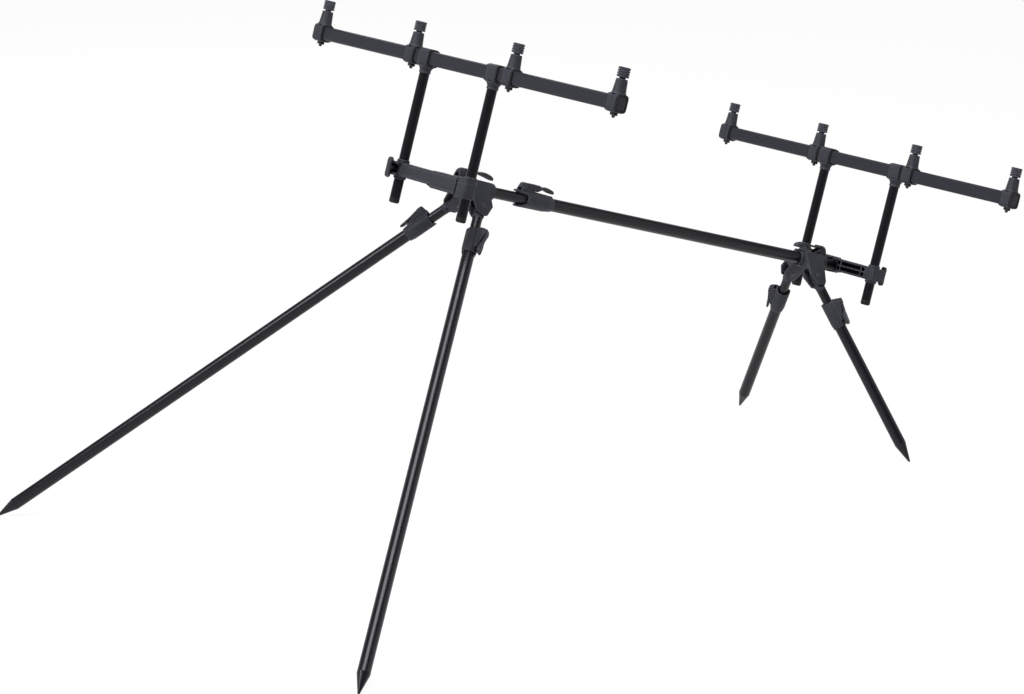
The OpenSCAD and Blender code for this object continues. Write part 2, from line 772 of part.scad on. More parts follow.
// Tee collars that hold the buzz bar on the uprights
module tee_collars(end) {
    color(moulding_colour) at_bar(end) for (y = [-1, 1]) translate([0, y * post_y, 0]) difference() {
        union() {
            bar_run(-tee_w / 2, tee_w / 2, collar_wall + seat_gap);
            translate([0, 0, -collar_top - tee_socket_len])
                cylinder(d1 = tee_socket_d, d2 = tee_socket_d + tee_flare, h = tee_socket_len + collar_wall);
            translate([0, 0, -collar_top - tee_socket_len])
                cylinder(d = tee_socket_d + 2 * tee_ring_over, h = tee_ring_h);
        }
        bar_run(-tee_w, tee_w, seat_gap);
        translate([0, 0, -collar_top - tee_socket_len - eps])
            cylinder(d = post_d + 2 * seat_gap, h = tee_socket_len + eps);
    }
}

// Rod rests: a split collar with a bolt lug, a tapered post and a threaded spigot
module rests(end) {
    half = bar_len(end) / 2;
    color(moulding_colour) at_bar(end) for (y = rest_places(end)) difference() {
        translate([0, y, 0]) rest_body();
        bar_run(-half - seat_gap, half + seat_gap, seat_gap);
        translate([0, y, -collar_top - lug_h - eps])
            cylinder(d = bolt_d + 2 * seat_gap, h = lug_h + 2 * eps);
    }
}

module rest_body() {
    bar_run(-rest_w / 2, rest_w / 2, collar_wall + seat_gap);
    translate([0, 0, collar_top - root_lap])
        cylinder(d1 = rest_foot_d, d2 = rest_top_d, h = rest_post_h + root_lap);
    translate([0, 0, post_top - eps]) cylinder(d = spigot_d, h = nut_gap + spigot_grip);
    translate([-lug_depth / 2, -lug_w / 2, -collar_top - lug_h]) cube([lug_depth, lug_w, lug_h + root_lap]);
}

module rest_bolts(end) {
    color(metal_colour) at_bar(end) for (y = rest_places(end)) translate([0, y, -collar_top - lug_h]) {
        cylinder(d = bolt_d, h = lug_h - seat_gap);
        difference() {
            translate([0, 0, -bolt_head_h]) cylinder(d = bolt_head_d, h = bolt_head_h);
            translate([0, 0, -bolt_head_h - eps]) cylinder(d = bolt_socket_d, h = bolt_socket_depth, $fn = 6);
        }
    }
}

// Knurled thumb nut on a rest's spigot, open on top for an alarm's thread
module thumb_nut(end, i) {
    color(moulding_colour) at_bar(end) translate([0, rest_places(end)[i], nut_bottom]) difference() {
        cylinder(d = nut_d, h = nut_h);
        translate([0, 0, nut_seat]) cylinder(d = thread_d, h = nut_h);
        translate([0, 0, -eps]) cylinder(d = spigot_d + 2 * pin_gap, h = nut_seat + 2 * eps);
        for (a = [0:360 / knurl_count:359]) rotate([0, 0, a])
            translate([nut_d / 2 + knurl_out, 0, knurl_rim]) cylinder(d = knurl_d, h = nut_h - 2 * knurl_rim);
    }
}

main_inner_tube();
main_outer_tube();
main_clamp();
main_lever();
front_hub();
hub_lever(front);  // front_hub_lever
leg_pins(front);  // front_leg_pins
rear_hub();
hub_lever(rear);  // rear_hub_lever
leg_pins(rear);  // rear_leg_pins
arm(front);  // front_arm
stem(front);  // front_stem
arm_screw(front);  // front_arm_screw
arm(rear);  // rear_arm
stem(rear);  // rear_stem
arm_screw(rear);  // rear_arm_screw
knuckle(front, left);  // front_left_knuckle
leg_inner_tube(front, left);  // front_left_inner_tube
leg_outer_tube(front, left);  // front_left_outer_tube
leg_clamp(front, left, turn_front_left);  // front_left_clamp
leg_lever(front, left, turn_front_left);  // front_left_lever
leg_spike(front, left);  // front_left_spike
knuckle(front, right);  // front_right_knuckle
leg_inner_tube(front, right);  // front_right_inner_tube
leg_outer_tube(front, right);  // front_right_outer_tube
leg_clamp(front, right, turn_front_right);  // front_right_clamp
leg_lever(front, right, turn_front_right);  // front_right_lever
leg_spike(front, right);  // front_right_spike
knuckle(rear, left);  // rear_left_knuckle
leg_inner_tube(rear, left);  // rear_left_inner_tube
leg_outer_tube(rear, left);  // rear_left_outer_tube
leg_clamp(rear, left, turn_rear_left);  // rear_left_clamp
leg_lever(rear, left, turn_rear_left);  // rear_left_lever
leg_spike(rear, left);  // rear_left_spike
knuckle(rear, right);  // rear_right_knuckle
leg_inner_tube(rear, right);  // rear_right_inner_tube
leg_outer_tube(rear, right);  // rear_right_outer_tube
leg_clamp(rear, right, turn_rear_right);  // rear_right_clamp
leg_lever(rear, right, turn_rear_right);  // rear_right_lever
leg_spike(rear, right);  // rear_right_spike
buzz_bar(front);  // front_bar
uprights(front);  // front_uprights
upright_plugs(front);  // front_upright_plugs
tee_collars(front);  // front_tee_collars
rests(front);  // front_rests
rest_bolts(front);  // front_rest_bolts
thumb_nut(front, 0);  // front_nut_1
thumb_nut(front, 1);  // front_nut_2
thumb_nut(front, 2);  // front_nut_3
thumb_nut(front, 3);  // front_nut_4
buzz_bar(rear);  // rear_bar
uprights(rear);  // rear_uprights
upright_plugs(rear);  // rear_upright_plugs
tee_collars(rear);  // rear_tee_collars
rests(rear);  // rear_rests
rest_bolts(rear);  // rear_rest_bolts
thumb_nut(rear, 0);  // rear_nut_1
thumb_nut(rear, 1);  // rear_nut_2
thumb_nut(rear, 2);  // rear_nut_3
thumb_nut(rear, 3);  // rear_nut_4
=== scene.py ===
"""Rod pod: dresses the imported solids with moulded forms, hardware and finishes.

Shapes are drawn in millimetres in the frame of the piece they belong to. The frames come from the
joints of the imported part, so every piece sits where its solid is.
"""
import json
import math

import bmesh
import bpy
from mathutils import Matrix, Vector


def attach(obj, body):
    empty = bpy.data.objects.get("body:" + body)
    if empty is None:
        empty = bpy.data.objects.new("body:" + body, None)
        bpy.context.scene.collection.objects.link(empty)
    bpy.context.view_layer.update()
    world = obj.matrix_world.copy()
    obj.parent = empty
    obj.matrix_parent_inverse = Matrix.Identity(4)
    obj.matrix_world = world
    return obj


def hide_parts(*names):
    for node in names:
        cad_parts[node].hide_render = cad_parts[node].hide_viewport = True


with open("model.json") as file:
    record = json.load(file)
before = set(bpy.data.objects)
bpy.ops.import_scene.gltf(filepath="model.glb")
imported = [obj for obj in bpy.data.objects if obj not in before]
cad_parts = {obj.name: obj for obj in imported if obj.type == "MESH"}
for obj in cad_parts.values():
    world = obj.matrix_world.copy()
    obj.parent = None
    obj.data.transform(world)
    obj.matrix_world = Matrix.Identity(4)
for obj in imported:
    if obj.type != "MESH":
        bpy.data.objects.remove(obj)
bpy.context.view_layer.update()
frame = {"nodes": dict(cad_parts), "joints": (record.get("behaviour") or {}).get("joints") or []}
NODES = frame["nodes"]
JOINTS = {joint["name"]: joint for joint in frame["joints"]}
MM = 0.001

# Sizes shared with the part's source
CAM_R = 5
CAM_AIR = 1
PIN_INSET = 8
LEVER_W = 7
PADDLE_W = 12
PIN_D = 4
CHEEK_T = 2.6
SIDE_GAP = 0.3
SLIDE_GAP = 0.3
SEAT_GAP = 0.05
CLAMP_SEAT = 16
MAIN_OUTER_D = 19
MAIN_INNER_D = 16.4
LEG_OUTER_D = 18
LEG_INNER_D = 14.8
LEG_INNER_WALL = 1.2
HUB_R = 13.5
HUB_OUTBOARD = 35
HUB_INBOARD = {"front": 36, "rear": 21.5}
EAR_SPLAY = math.radians(34.8)
PIVOT_DROP = 35.3
EAR_OFFSET = 9
EAR_T = 3.6
EAR_GAP = 5.3
EAR_BACK = 22
EAR_FORE = 17.5
EAR_LOW = 15.5
EAR_TOP = 29
EAR_PEAK = 39
EAR_HEEL = (14.5, 9)
BRIDGE_BACK = 16
ARM_OUT = 71
POST_Y = 78.5
POST_D = 15
BAR_H = 20.4
BAR_DEPTH = 16
BAR_CORNER = 4
COLLAR_WALL = 3
REST_POST_H = 19.5
NUT_GAP = 2
NUT_D = 17
NUT_H = 14
NUT_SEAT = 5
NUT_BAND = 3.1
NUT_BANDS = (0.2, 3.65, 7.1, 10.55)
THREAD_D = 9.525
SPIGOT_D = 9
COLLAR_TOP = BAR_H / 2 + COLLAR_WALL + SEAT_GAP
NUT_BOTTOM = COLLAR_TOP + REST_POST_H + NUT_GAP
REST_W = 23
TEE_W = 27
CAP_T = 3
BAR_LEN = {"front": 695, "rear": 647}
REST_GAP = {"front": 9.5, "rear": 1.5}
LEGS = [f"{end}_{hand}" for end in ("front", "rear") for hand in ("left", "right")]


# Frames


def place(origin, x, y, z):
    """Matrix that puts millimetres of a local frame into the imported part's frame, in metres."""
    turned = Matrix((x, y, z)).transposed().to_4x4()
    turned.translation = origin
    return turned @ Matrix.Scale(MM, 4)


def axis_of(joint):
    return Vector(JOINTS[joint]["axis"]).normalized()


ALONG = axis_of("main_bar_slide")
UP = axis_of("front_post_height")


def lever_frame(lever, mouth):
    """Frame of a clamp lever's pin: X away from the tube, Y along the pin, Z to the clamp's mouth."""
    joint = JOINTS[lever + "_open"]
    y = -Vector(joint["axis"]).normalized()
    return place(Vector(joint["pos_m"]), y.cross(mouth), y, mouth)


def mouth_frame(lever, mouth, radius):
    """Frame of a clamp's mouth on the tube axis, from its lever's pin."""
    return lever_frame(lever, mouth) @ Matrix.Translation((-radius - CAM_R - CAM_AIR, 0, PIN_INSET))


def end_frame(end):
    """Frame of one end on the bar axis over the leg pivots: -X points outboard, Z is square to the bar."""
    inboard = -axis_of(f"{end}_arm_slide")
    pin = Vector(JOINTS[f"{end}_hub_lever_open"]["pos_m"])
    pin_frame = place(pin, inboard, UP.cross(inboard), UP)
    return pin_frame @ Matrix.Translation((HUB_OUTBOARD - PIN_INSET, 0, -HUB_R - CAM_R - CAM_AIR))


def leg_frame(leg):
    """Frame of one leg: the leg hangs down -Z from its pivot."""
    joint = JOINTS[leg + "_leg_fold"]
    y = -Vector(joint["axis"]).normalized()
    z = -axis_of(leg + "_leg_extend")
    return place(Vector(joint["pos_m"]), y.cross(z), y, z)


def bar_frame(end):
    """Frame of one buzz bar's middle, with the axes of its end."""
    spots = [Vector(JOINTS[f"{end}_nut_{i}_turn"]["pos_m"]) for i in (2, 3)]
    inboard = -axis_of(f"{end}_arm_slide")
    middle = (spots[0] + spots[1]) / 2 - UP * NUT_BOTTOM * MM
    return place(middle, inboard, UP.cross(inboard), UP)


# Outlines and shells

# Share of a side that the rounding of one corner may take
CORNER_SHARE = 1 / 2.05
# Least cosine between an inset outline's side and the way it turns at a corner
MITRE_LIMIT = 0.5
# Most of a swept bar's width or thickness that the rounding of its corners takes
BAR_SHARE = 1 / 2.2
# Arcs in a slab's rounded edge
EDGE_STEPS = 3
# A block's corners, seen along Z, are rounded by so many edge radii
CORNER_EDGES = 2.5
# Faces that meet at more than this angle keep a sharp edge
SHARP_ANGLE = math.radians(32)
# Turns that lay a flat outline into another plane of the frame
SIDE_ON = Matrix.Rotation(math.pi / 2, 4, "X")
ALONG_X = Matrix.Rotation(math.pi / 2, 4, "Y")


def rounded(points, radius, steps=4):
    """Closed outline with its corners rounded, each by at most half of its shorter side."""
    outline = []
    for i, point in enumerate(points):
        corner = Vector(point)
        back = Vector(points[i - 1]) - corner
        ahead = Vector(points[(i + 1) % len(points)]) - corner
        half = back.angle(ahead) / 2
        reach = min(radius / math.tan(half), back.length * CORNER_SHARE, ahead.length * CORNER_SHARE)
        start = corner + back.normalized() * reach
        end = corner + ahead.normalized() * reach
        for step in range(steps + 1):
            t = step / steps
            outline.append(start * (1 - t) ** 2 + corner * 2 * t * (1 - t) + end * t ** 2)
    return outline


def rectangle(width, height, radius, steps=4):
    w, h = width / 2, height / 2
    return rounded([(-w, -h), (w, -h), (w, h), (-w, h)], radius, steps)


def evenly(outline, count):
    """The outline's points at even angles about the origin, which it surrounds."""
    points = []
    for step in range(count):
        turn = 2 * math.pi * step / count
        ray = Vector((math.cos(turn), math.sin(turn)))
        for a, b in zip(outline, outline[1:] + outline[:1]):
            before, after = ray.cross(a), ray.cross(b)
            if before <= 0 < after or after <= 0 < before:
                spot = a + (b - a) * before / (before - after)
                if spot.dot(ray) > 0:
                    points.append(spot)
                    break
    return points


def inset(outline, depth):
    """The outline moved inwards by depth."""
    area = sum(a.cross(b) for a, b in zip(outline, outline[1:] + outline[:1]))
    inward = 1 if area > 0 else -1
    moved = []
    for i, point in enumerate(outline):
        before = (point - outline[i - 1]).normalized()
        after = (outline[(i + 1) % len(outline)] - point).normalized()
        tangent = (before + after).normalized()
        normal = Vector((-tangent.y, tangent.x)) * inward
        spread = abs(tangent.dot(before))
        moved.append(point + normal * depth / max(spread, MITRE_LIMIT))
    return moved


class Shape:
    """Closed shells in one local frame, gathered into one mesh."""

    def __init__(self):
        self.bm = bmesh.new()

    def skin(self, rings, at=None, loop=False):
        """Shell through rings of points; loop joins the last ring to the first, or else both ends close."""
        at = at or Matrix()
        rows = [[self.bm.verts.new(at @ Vector(p)) for p in ring] for ring in rings]
        for low, high in zip(rows, rows[1:] + (rows[:1] if loop else [])):
            for i in range(max(len(low), len(high))):
                j = i + 1
                corners = [low[i % len(low)], low[j % len(low)], high[j % len(high)], high[i % len(high)]]
                self.bm.faces.new(list(dict.fromkeys(corners)))
        if not loop:
            for row in (rows[0], rows[-1]):
                if len(row) > 2:
                    self.bm.faces.new(row)

    def lathe(self, profile, at=None, loop=False, steps=56):
        """Turned shell from points (radius, height)."""
        rings = []
        for r, z in profile:
            if r == 0:
                rings.append([(0, 0, z)])
                continue
            turns = [2 * math.pi * i / steps for i in range(steps)]
            rings.append([(r * math.cos(a), r * math.sin(a), z) for a in turns])
        self.skin(rings, at, loop)

    def slab(self, outline, thickness, edge, at=None, bore=None):
        """Slab of an outline across Z with rounded edges; bore is an inner outline with as many points."""
        half = thickness / 2
        levels = []
        for step in range(EDGE_STEPS + 1):
            turn = step / EDGE_STEPS * math.pi / 2
            levels.append((edge * (1 - math.sin(turn)), half - edge + edge * math.cos(turn)))
        rings = [[(*p, -z) for p in inset(outline, d)] for d, z in levels]
        rings += [[(*p, z) for p in inset(outline, d)] for d, z in reversed(levels)]
        if bore:
            rings = [[(*p, -half) for p in bore]] + rings + [[(*p, half) for p in bore]]
        self.skin(rings, at, loop=bool(bore))

    def block(self, low, high, edge):
        """Box between two corners with rounded edges."""
        size = [b - a for a, b in zip(low, high)]
        middle = [(a + b) / 2 for a, b in zip(low, high)]
        self.slab(rectangle(size[0], size[1], CORNER_EDGES * edge), size[2], edge, Matrix.Translation(middle))

    def sweep(self, stations, corner):
        """Bar through stations (x, z, direction, width, thickness) in the XZ plane, wide along Y."""
        rings = []
        for x, z, direction, width, thickness in stations:
            normal = Vector((-direction[1], direction[0]))
            radius = min(corner, thickness * BAR_SHARE, width * BAR_SHARE)
            section = rectangle(width, thickness, radius, 3)
            rings.append([(x + normal.x * p.y, p.x, z + normal.y * p.y) for p in section])
        self.skin(rings)


def build(name, shape, at, finish, body, replaced=()):
    """Turns a shape into a piece in its place, which rides on a body and may stand for CAD nodes."""
    bmesh.ops.recalc_face_normals(shape.bm, faces=shape.bm.faces)
    shape.bm.transform(at)
    mesh = bpy.data.meshes.new(name)
    shape.bm.to_mesh(mesh)
    shape.bm.free()
    mesh.materials.append(finish)
    mesh.shade_smooth()
    mesh.set_sharp_from_angle(angle=SHARP_ANGLE)
    piece = bpy.data.objects.new(name, mesh)
    bpy.context.scene.collection.objects.link(piece)
    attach(piece, body)
    if replaced:
        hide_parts(*replaced)


# Node trees


class Socket:
    """A socket with arithmetic: an expression adds its Math nodes."""

    def __init__(self, net, socket):
        self.net = net
        self.socket = socket

    def math(self, operation, a, b=0.0):
        return self.net.add("ShaderNodeMath", {"operation": operation}, {0: a, 1: b})

    def __add__(self, other):
        return self.math("ADD", self, other)

    def __sub__(self, other):
        return self.math("SUBTRACT", self, other)

    def __rsub__(self, other):
        return self.math("SUBTRACT", other, self)

    def __mul__(self, other):
        return self.math("MULTIPLY", self, other)

    __radd__ = __add__
    __rmul__ = __mul__

    def between(self, low, high):
        """0 below low, 1 above high, and straight between."""
        return self.net.add("ShaderNodeMapRange", {"clamp": True}, {0: self, 1: low, 2: high})


class Net:
    """A node tree that is written as expressions."""

    def __init__(self, tree):
        self.tree = tree

    def add(self, kind, settings=None, sockets=None, out=0):
        """Any node: settings first, then values or links of its sockets; returns one output."""
        node = self.tree.nodes.new(kind)
        for key, value in (settings or {}).items():
            setattr(node, key, value)
        for key, value in (sockets or {}).items():
            if isinstance(value, Socket):
                self.tree.links.new(value.socket, node.inputs[key])
            else:
                node.inputs[key].default_value = value
        return Socket(self, node.outputs[out]) if node.outputs else None

    def mix(self, factor, first, second):
        """Colour between two colours."""
        return self.add("ShaderNodeMix", {"data_type": "RGBA"}, {0: factor, 6: first, 7: second}, 2)

    def noise(self, place_on, scale, detail=2.0):
        return self.add("ShaderNodeTexNoise", None, {"Vector": place_on, "Scale": scale, "Detail": detail})


def new_material(name):
    """A material with an empty tree; returns it, its net and the object coordinates."""
    material = bpy.data.materials.new(name)
    material.use_nodes = True
    material.node_tree.nodes.clear()
    net = Net(material.node_tree)
    return material, net, net.add("ShaderNodeTexCoord", out=3)


def surface(net, sockets):
    """Principled surface on the material's output."""
    shader = net.add("ShaderNodeBsdfPrincipled", None, sockets)
    net.add("ShaderNodeOutputMaterial", None, {"Surface": shader})


# A full tint takes this share off the red of a grey and adds this share to its blue
RED_LOSS = 0.06
BLUE_GAIN = 0.42
# Tints of alloy, nylon and steel
ALLOY_TINT = 1.0
NYLON_TINT = 0.6
STEEL_TINT = 0.3


def grey(level, tint):
    """A dark colour with a cool tint."""
    return (level * (1 - RED_LOSS * tint), level, level * (1 + BLUE_GAIN * tint), 1)


# Reach in metres of the shade painted into crevices, and of the paler edges of nylon, alloy and steel, which
# are rubbed, and on nylon also carry a painted highlight
CREVICE_REACH = 0.009
NYLON_EDGE = 0.0016
ALLOY_EDGE = 0.0005
STEEL_EDGE = 0.0004
# How far a softened normal leaves the true one where the paler edge starts and where it is full
RUB_RANGE = (0.008, 0.14)


def edge_mask(net, radius):
    """1 along sharp edges, where handling rubs the surface first; on nylon the paler edge it drives is also a
    painted highlight.
    """
    soft = net.add("ShaderNodeBevel", {"samples": 4}, {"Radius": radius})
    true = net.add("ShaderNodeNewGeometry", out=1)
    match = net.add("ShaderNodeVectorMath", {"operation": "DOT_PRODUCT"}, {0: soft, 1: true}, 1)
    return (1 - match).between(*RUB_RANGE)


def moulding(name, level, roughness, gloss, grain_depth):
    """Spark-eroded black nylon: fine grain, cloudy tone, painted shade in crevices, edges paler from wear and
    a painted highlight.
    """
    material, net, spot = new_material(name)
    cloud = net.noise(spot, scale=45.0, detail=4.0)
    grain = net.noise(spot, scale=1900.0, detail=3.0)
    tone = net.mix(cloud, grey(level * 0.84, NYLON_TINT), grey(level * 1.2, NYLON_TINT))
    # Painted shade: the colour darkens where ambient occlusion finds crevices and gaps between parts
    open_to_air = net.add("ShaderNodeAmbientOcclusion", {"samples": 8}, {"Distance": CREVICE_REACH}, 1)
    crevice_shaded = net.mix(open_to_air.between(0.25, 0.9), grey(level * 0.2, NYLON_TINT), tone)
    # Paler edges: partly wear, partly a painted highlight on rounded edges
    rub = edge_mask(net, NYLON_EDGE) * (0.4 + net.noise(spot, scale=160.0) * 0.9)
    colour = net.mix(rub * 0.8, crevice_shaded, grey(level * 3.4, NYLON_TINT))
    bump = net.add("ShaderNodeBump", None, {"Strength": 0.35, "Distance": grain_depth, "Height": grain})
    surface(net, {
        "Base Color": colour,
        "Roughness": roughness + (grain - 0.5) * 0.22 - rub * 0.1,
        "Specular IOR Level": gloss,
        "Normal": bump,
    })
    return material


# Share of the way along a tube that is taken out of its pattern, which draws it out into lines
DRAW_STRETCH = 0.985


def anodised(name, axis, level, roughness, gloss):
    """Black anodised alloy tube with drawing lines along its axis and faint rub marks."""
    material, net, spot = new_material(name)
    run = net.add("ShaderNodeVectorMath", {"operation": "DOT_PRODUCT"}, {0: spot, 1: axis}, 1)
    back = net.add("ShaderNodeVectorMath", {"operation": "SCALE"}, {0: axis, "Scale": run * -DRAW_STRETCH})
    drawn = net.add("ShaderNodeVectorMath", {"operation": "ADD"}, {0: spot, 1: back})
    streak = net.noise(drawn, scale=1500.0, detail=3.0)
    cloud = net.noise(spot, scale=26.0, detail=3.0)
    marks = net.noise(drawn, scale=420.0, detail=4.0) * net.noise(spot, scale=70.0)
    scuff = marks.between(0.34, 0.5)
    tone = net.mix(streak, grey(level * 0.8, ALLOY_TINT), grey(level * 1.22, ALLOY_TINT))
    worn = net.mix(edge_mask(net, ALLOY_EDGE) * 0.45, tone, grey(level * 5, ALLOY_TINT))
    bump = net.add("ShaderNodeBump", None, {"Strength": 0.12, "Distance": 0.00003, "Height": streak})
    surface(net, {
        "Base Color": net.mix(scuff * 0.25, worn, grey(level * 1.7, ALLOY_TINT)),
        "Roughness": roughness + (streak - 0.5) * 0.16 + (cloud - 0.5) * 0.1 + scuff * 0.06,
        "Specular IOR Level": gloss,
        "Normal": bump,
    })
    return material


def turned_metal(name, level, metallic, roughness):
    """Small turned hardware with a fine satin grain."""
    material, net, spot = new_material(name)
    grain = net.noise(spot, scale=2600.0)
    cloud = net.noise(spot, scale=240.0, detail=3.0)
    rub = edge_mask(net, STEEL_EDGE)
    tone = net.mix(cloud, grey(level * 0.8, STEEL_TINT), grey(level * 1.2, STEEL_TINT))
    surface(net, {
        "Base Color": net.mix(rub * 0.4, tone, grey(level * 2, STEEL_TINT)),
        "Roughness": roughness + (grain - 0.5) * 0.2,
        "Metallic": metallic,
        "Normal": net.add("ShaderNodeBump", None, {"Strength": 0.15, "Distance": 0.00004, "Height": grain}),
    })
    return material


HOUSING = moulding("moulded_nylon", level=0.034, roughness=0.5, gloss=0.15, grain_depth=0.00009)
LEVER = moulding("moulded_lever", level=0.03, roughness=0.42, gloss=0.24, grain_depth=0.00006)
NUT = moulding("moulded_nut", level=0.034, roughness=0.46, gloss=0.22, grain_depth=0.00006)
# Very dark finish: the rubber of the upright plugs, and painted shade in the sleeves' end bands and the arms'
# dark sheets
DARK_RUBBER_AND_SHADE = moulding("rubber_liner", level=0.005, roughness=0.62, gloss=0.3, grain_depth=0.00005)
BLACK_STEEL = turned_metal("blackened_steel", level=0.045, metallic=0.8, roughness=0.42)


# Repeated ribs


def rib_tree(name, ring):
    """Geometry nodes that set out round ribs on an arc about Z, or in a row along X."""
    tree = bpy.data.node_groups.new(name, "GeometryNodeTree")
    face = tree.interface
    face.new_socket("Geometry", in_out="OUTPUT", socket_type="NodeSocketGeometry")
    face.new_socket("Geometry", in_out="INPUT", socket_type="NodeSocketGeometry")
    kinds = {"Count": "NodeSocketInt", "Finish": "NodeSocketMaterial"}
    for key in ("Count", "Reach", "Start", "Step", "Rib Length", "Rib Radius", "Finish"):
        face.new_socket(key, in_out="INPUT", socket_type=kinds.get(key, "NodeSocketFloat"))
    net = Net(tree)
    given = tree.nodes.new("NodeGroupInput")
    value = {socket.name: Socket(net, socket) for socket in given.outputs}
    index = net.add("GeometryNodeInputIndex")
    travel = value["Start"] + index * value["Step"]
    points = net.add("GeometryNodePoints", None, {"Count": value["Count"]})
    if ring:
        x = value["Reach"] * travel.math("COSINE", travel)
        y = value["Reach"] * travel.math("SINE", travel)
        spots = net.add("ShaderNodeCombineXYZ", None, {0: x, 1: y})
        turn = net.add("ShaderNodeCombineXYZ", None, {2: travel})
    else:
        spots = net.add("ShaderNodeCombineXYZ", None, {0: travel, 2: value["Reach"]})
        turn = net.add("ShaderNodeCombineXYZ", None, {0: math.pi / 2})
    placed = net.add("GeometryNodeSetPosition", None, {"Geometry": points, "Position": spots})
    rib = net.add(
        "GeometryNodeMeshCylinder", {"fill_type": "TRIANGLE_FAN"},
        {"Vertices": 8, "Radius": value["Rib Radius"], "Depth": value["Rib Length"]},
    )
    ribs = net.add(
        "GeometryNodeInstanceOnPoints", None, {"Points": placed, "Instance": rib, "Rotation": turn},
    )
    whole = net.add("GeometryNodeRealizeInstances", None, {"Geometry": ribs})
    done = net.add("GeometryNodeSetMaterial", None, {"Geometry": whole, "Material": value["Finish"]})
    result = tree.nodes.new("NodeGroupOutput")
    tree.links.new(done.socket, result.inputs[0])
    return tree


RIB_RING = rib_tree("rib_ring", True)
RIB_ROW = rib_tree("rib_row", False)


def add_ribs(shape, tree, finish, at, **sizes):
    """Adds the ribs that a tree sets out with these sizes to a shape, in the shape's own frame."""
    holder = bpy.data.objects.new("rib_holder", bpy.data.meshes.new("rib_holder"))
    bpy.context.scene.collection.objects.link(holder)
    modifier = holder.modifiers.new("ribs", "NODES")
    modifier.node_group = tree
    for item in tree.interface.items_tree:
        key = item.name.lower().replace(" ", "_")
        if item.in_out == "INPUT" and key != "geometry":
            modifier[item.identifier] = finish if key == "finish" else sizes[key]
    graph = bpy.context.evaluated_depsgraph_get()
    mesh = bpy.data.meshes.new_from_object(holder.evaluated_get(graph))
    holder.modifiers.remove(modifier)
    bpy.data.objects.remove(holder)
    mesh.transform(at)
    shape.bm.from_mesh(mesh)
    bpy.data.meshes.remove(mesh)


# Clamps and levers


def ease(value, low, high):
    """0 below low, 1 above high, with a soft rise between."""
    t = min(1, max(0, (value - low) / (high - low)))
    return t * t * (3 - 2 * t)


# Points round a clamp's collar
COLLAR_STEPS = 72
# Depth of a cheek's root in its collar
CHEEK_ROOT = 3
# Rounding of a cheek's edges
CHEEK_EDGE = 0.6


def mouth_rim(inner, outer, z, into):
    """Rim of a collar's mouth at z, as its inner side and its outer side; into is the way into its bore."""
    lead = inner + 1.4
    inside = [(lead, z + 0.6 * into), (lead, z + 3 * into), (inner, z + 3.4 * into)]
    outside = [(outer, z + 1.6 * into), (outer - 0.35, z + 0.6 * into), (outer - 1.1, z), (inner + 1.9, z)]
    return inside, outside


def collar(shape, radius, length, tube_d, inner_d, taper, lips, notch):
    """Clamp collar round a tube's end: its mouth at z = 0 runs on in two lips, between notches at the sides.

    The first lip is on the lever's side."""
    inner = inner_d / 2 + SLIDE_GAP
    seat = tube_d / 2 + SEAT_GAP
    foot = -length
    inside, outside = mouth_rim(inner, radius, 0, -1)
    profile = inside + [
        (inner, -CLAMP_SEAT), (seat, -CLAMP_SEAT), (seat, foot), (seat + 0.8, foot), (seat + 1.2, foot + 0.5),
        (radius - 0.25, foot + taper), (radius, foot + taper + 1.5),
    ] + outside
    rings = []
    for r, z in profile:
        share = min(1, max(0, 1 + z / CLAMP_SEAT))
        ring = []
        for i in range(COLLAR_STEPS):
            turn = 2 * math.pi * i / COLLAR_STEPS
            lip = lips[0] if math.cos(turn) > 0 else lips[1]
            reach = lip - (lip + notch) * ease(abs(math.sin(turn)), low=0.3, high=0.85)
            ring.append((r * math.cos(turn), r * math.sin(turn), z + reach * share))
        rings.append(ring)
    shape.skin(rings, loop=True)


def fin_outline(radius, length):
    """Fin beside a lever, highest at the pin."""
    root = radius - CHEEK_ROOT
    pin_x = radius + CAM_R + CAM_AIR
    pin_z = -PIN_INSET
    return rounded([
        (root, -1.2), (radius + 1, -0.8), (pin_x + 2.2, pin_z + 4.2), (pin_x + 4.6, pin_z + 0.5),
        (pin_x + 3.2, pin_z - 4), (radius + 0.4, -length), (root, -length),
    ], 2.2)


def box_outline(radius, length):
    """Flat-topped cheek of the main clamp, undercut at the back, on a low ridge that runs to the foot."""
    root = radius - CHEEK_ROOT
    top = radius + 11.6
    return rounded([
        (root, -1.5), (radius + 1.5, -1.5), (radius + 6, -3.7), (radius + 9.4, -5.4), (top, -10),
        (top, -34.5), (radius + 9.4, -35), (radius + 1.6, -25), (radius + 0.8, -38),
        (radius - 0.2, -length), (root, -length),
    ], 1.2)


def cheeks(shape, outline, at=None):
    """Two cheeks beside a lever."""
    at = at or Matrix()
    for side in (-1, 1):
        middle = side * (LEVER_W / 2 + SIDE_GAP + CHEEK_T / 2)
        shape.slab(outline, CHEEK_T, CHEEK_EDGE, at @ Matrix.Translation((0, middle, 0)) @ SIDE_ON)


def curve_at(points, t):
    """Point and direction on a Bezier curve of four control points."""
    a, b, c, d = (Vector(p) for p in points)
    s = 1 - t
    spot = a * s ** 3 + b * 3 * s * s * t + c * 3 * s * t * t + d * t ** 3
    slope = (b - a) * 3 * s * s + (c - b) * 6 * s * t + (d - c) * 3 * t * t
    return spot, slope.normalized()


def tip_share(t, start, least):
    """Share of the full width at t: 1 up to start, then a round tip that closes at t = 1."""
    return math.sqrt(max(least, 1 - max(0, (t - start) / (1 - start)) ** 2))


# Stations along a lever's arm
ARM_STEPS = 30
# Share of the arm over which it widens and thickens into its paddle, and where the grip's ribs sit
PADDLE_RISE = 0.22
GRIP_AT = 0.78


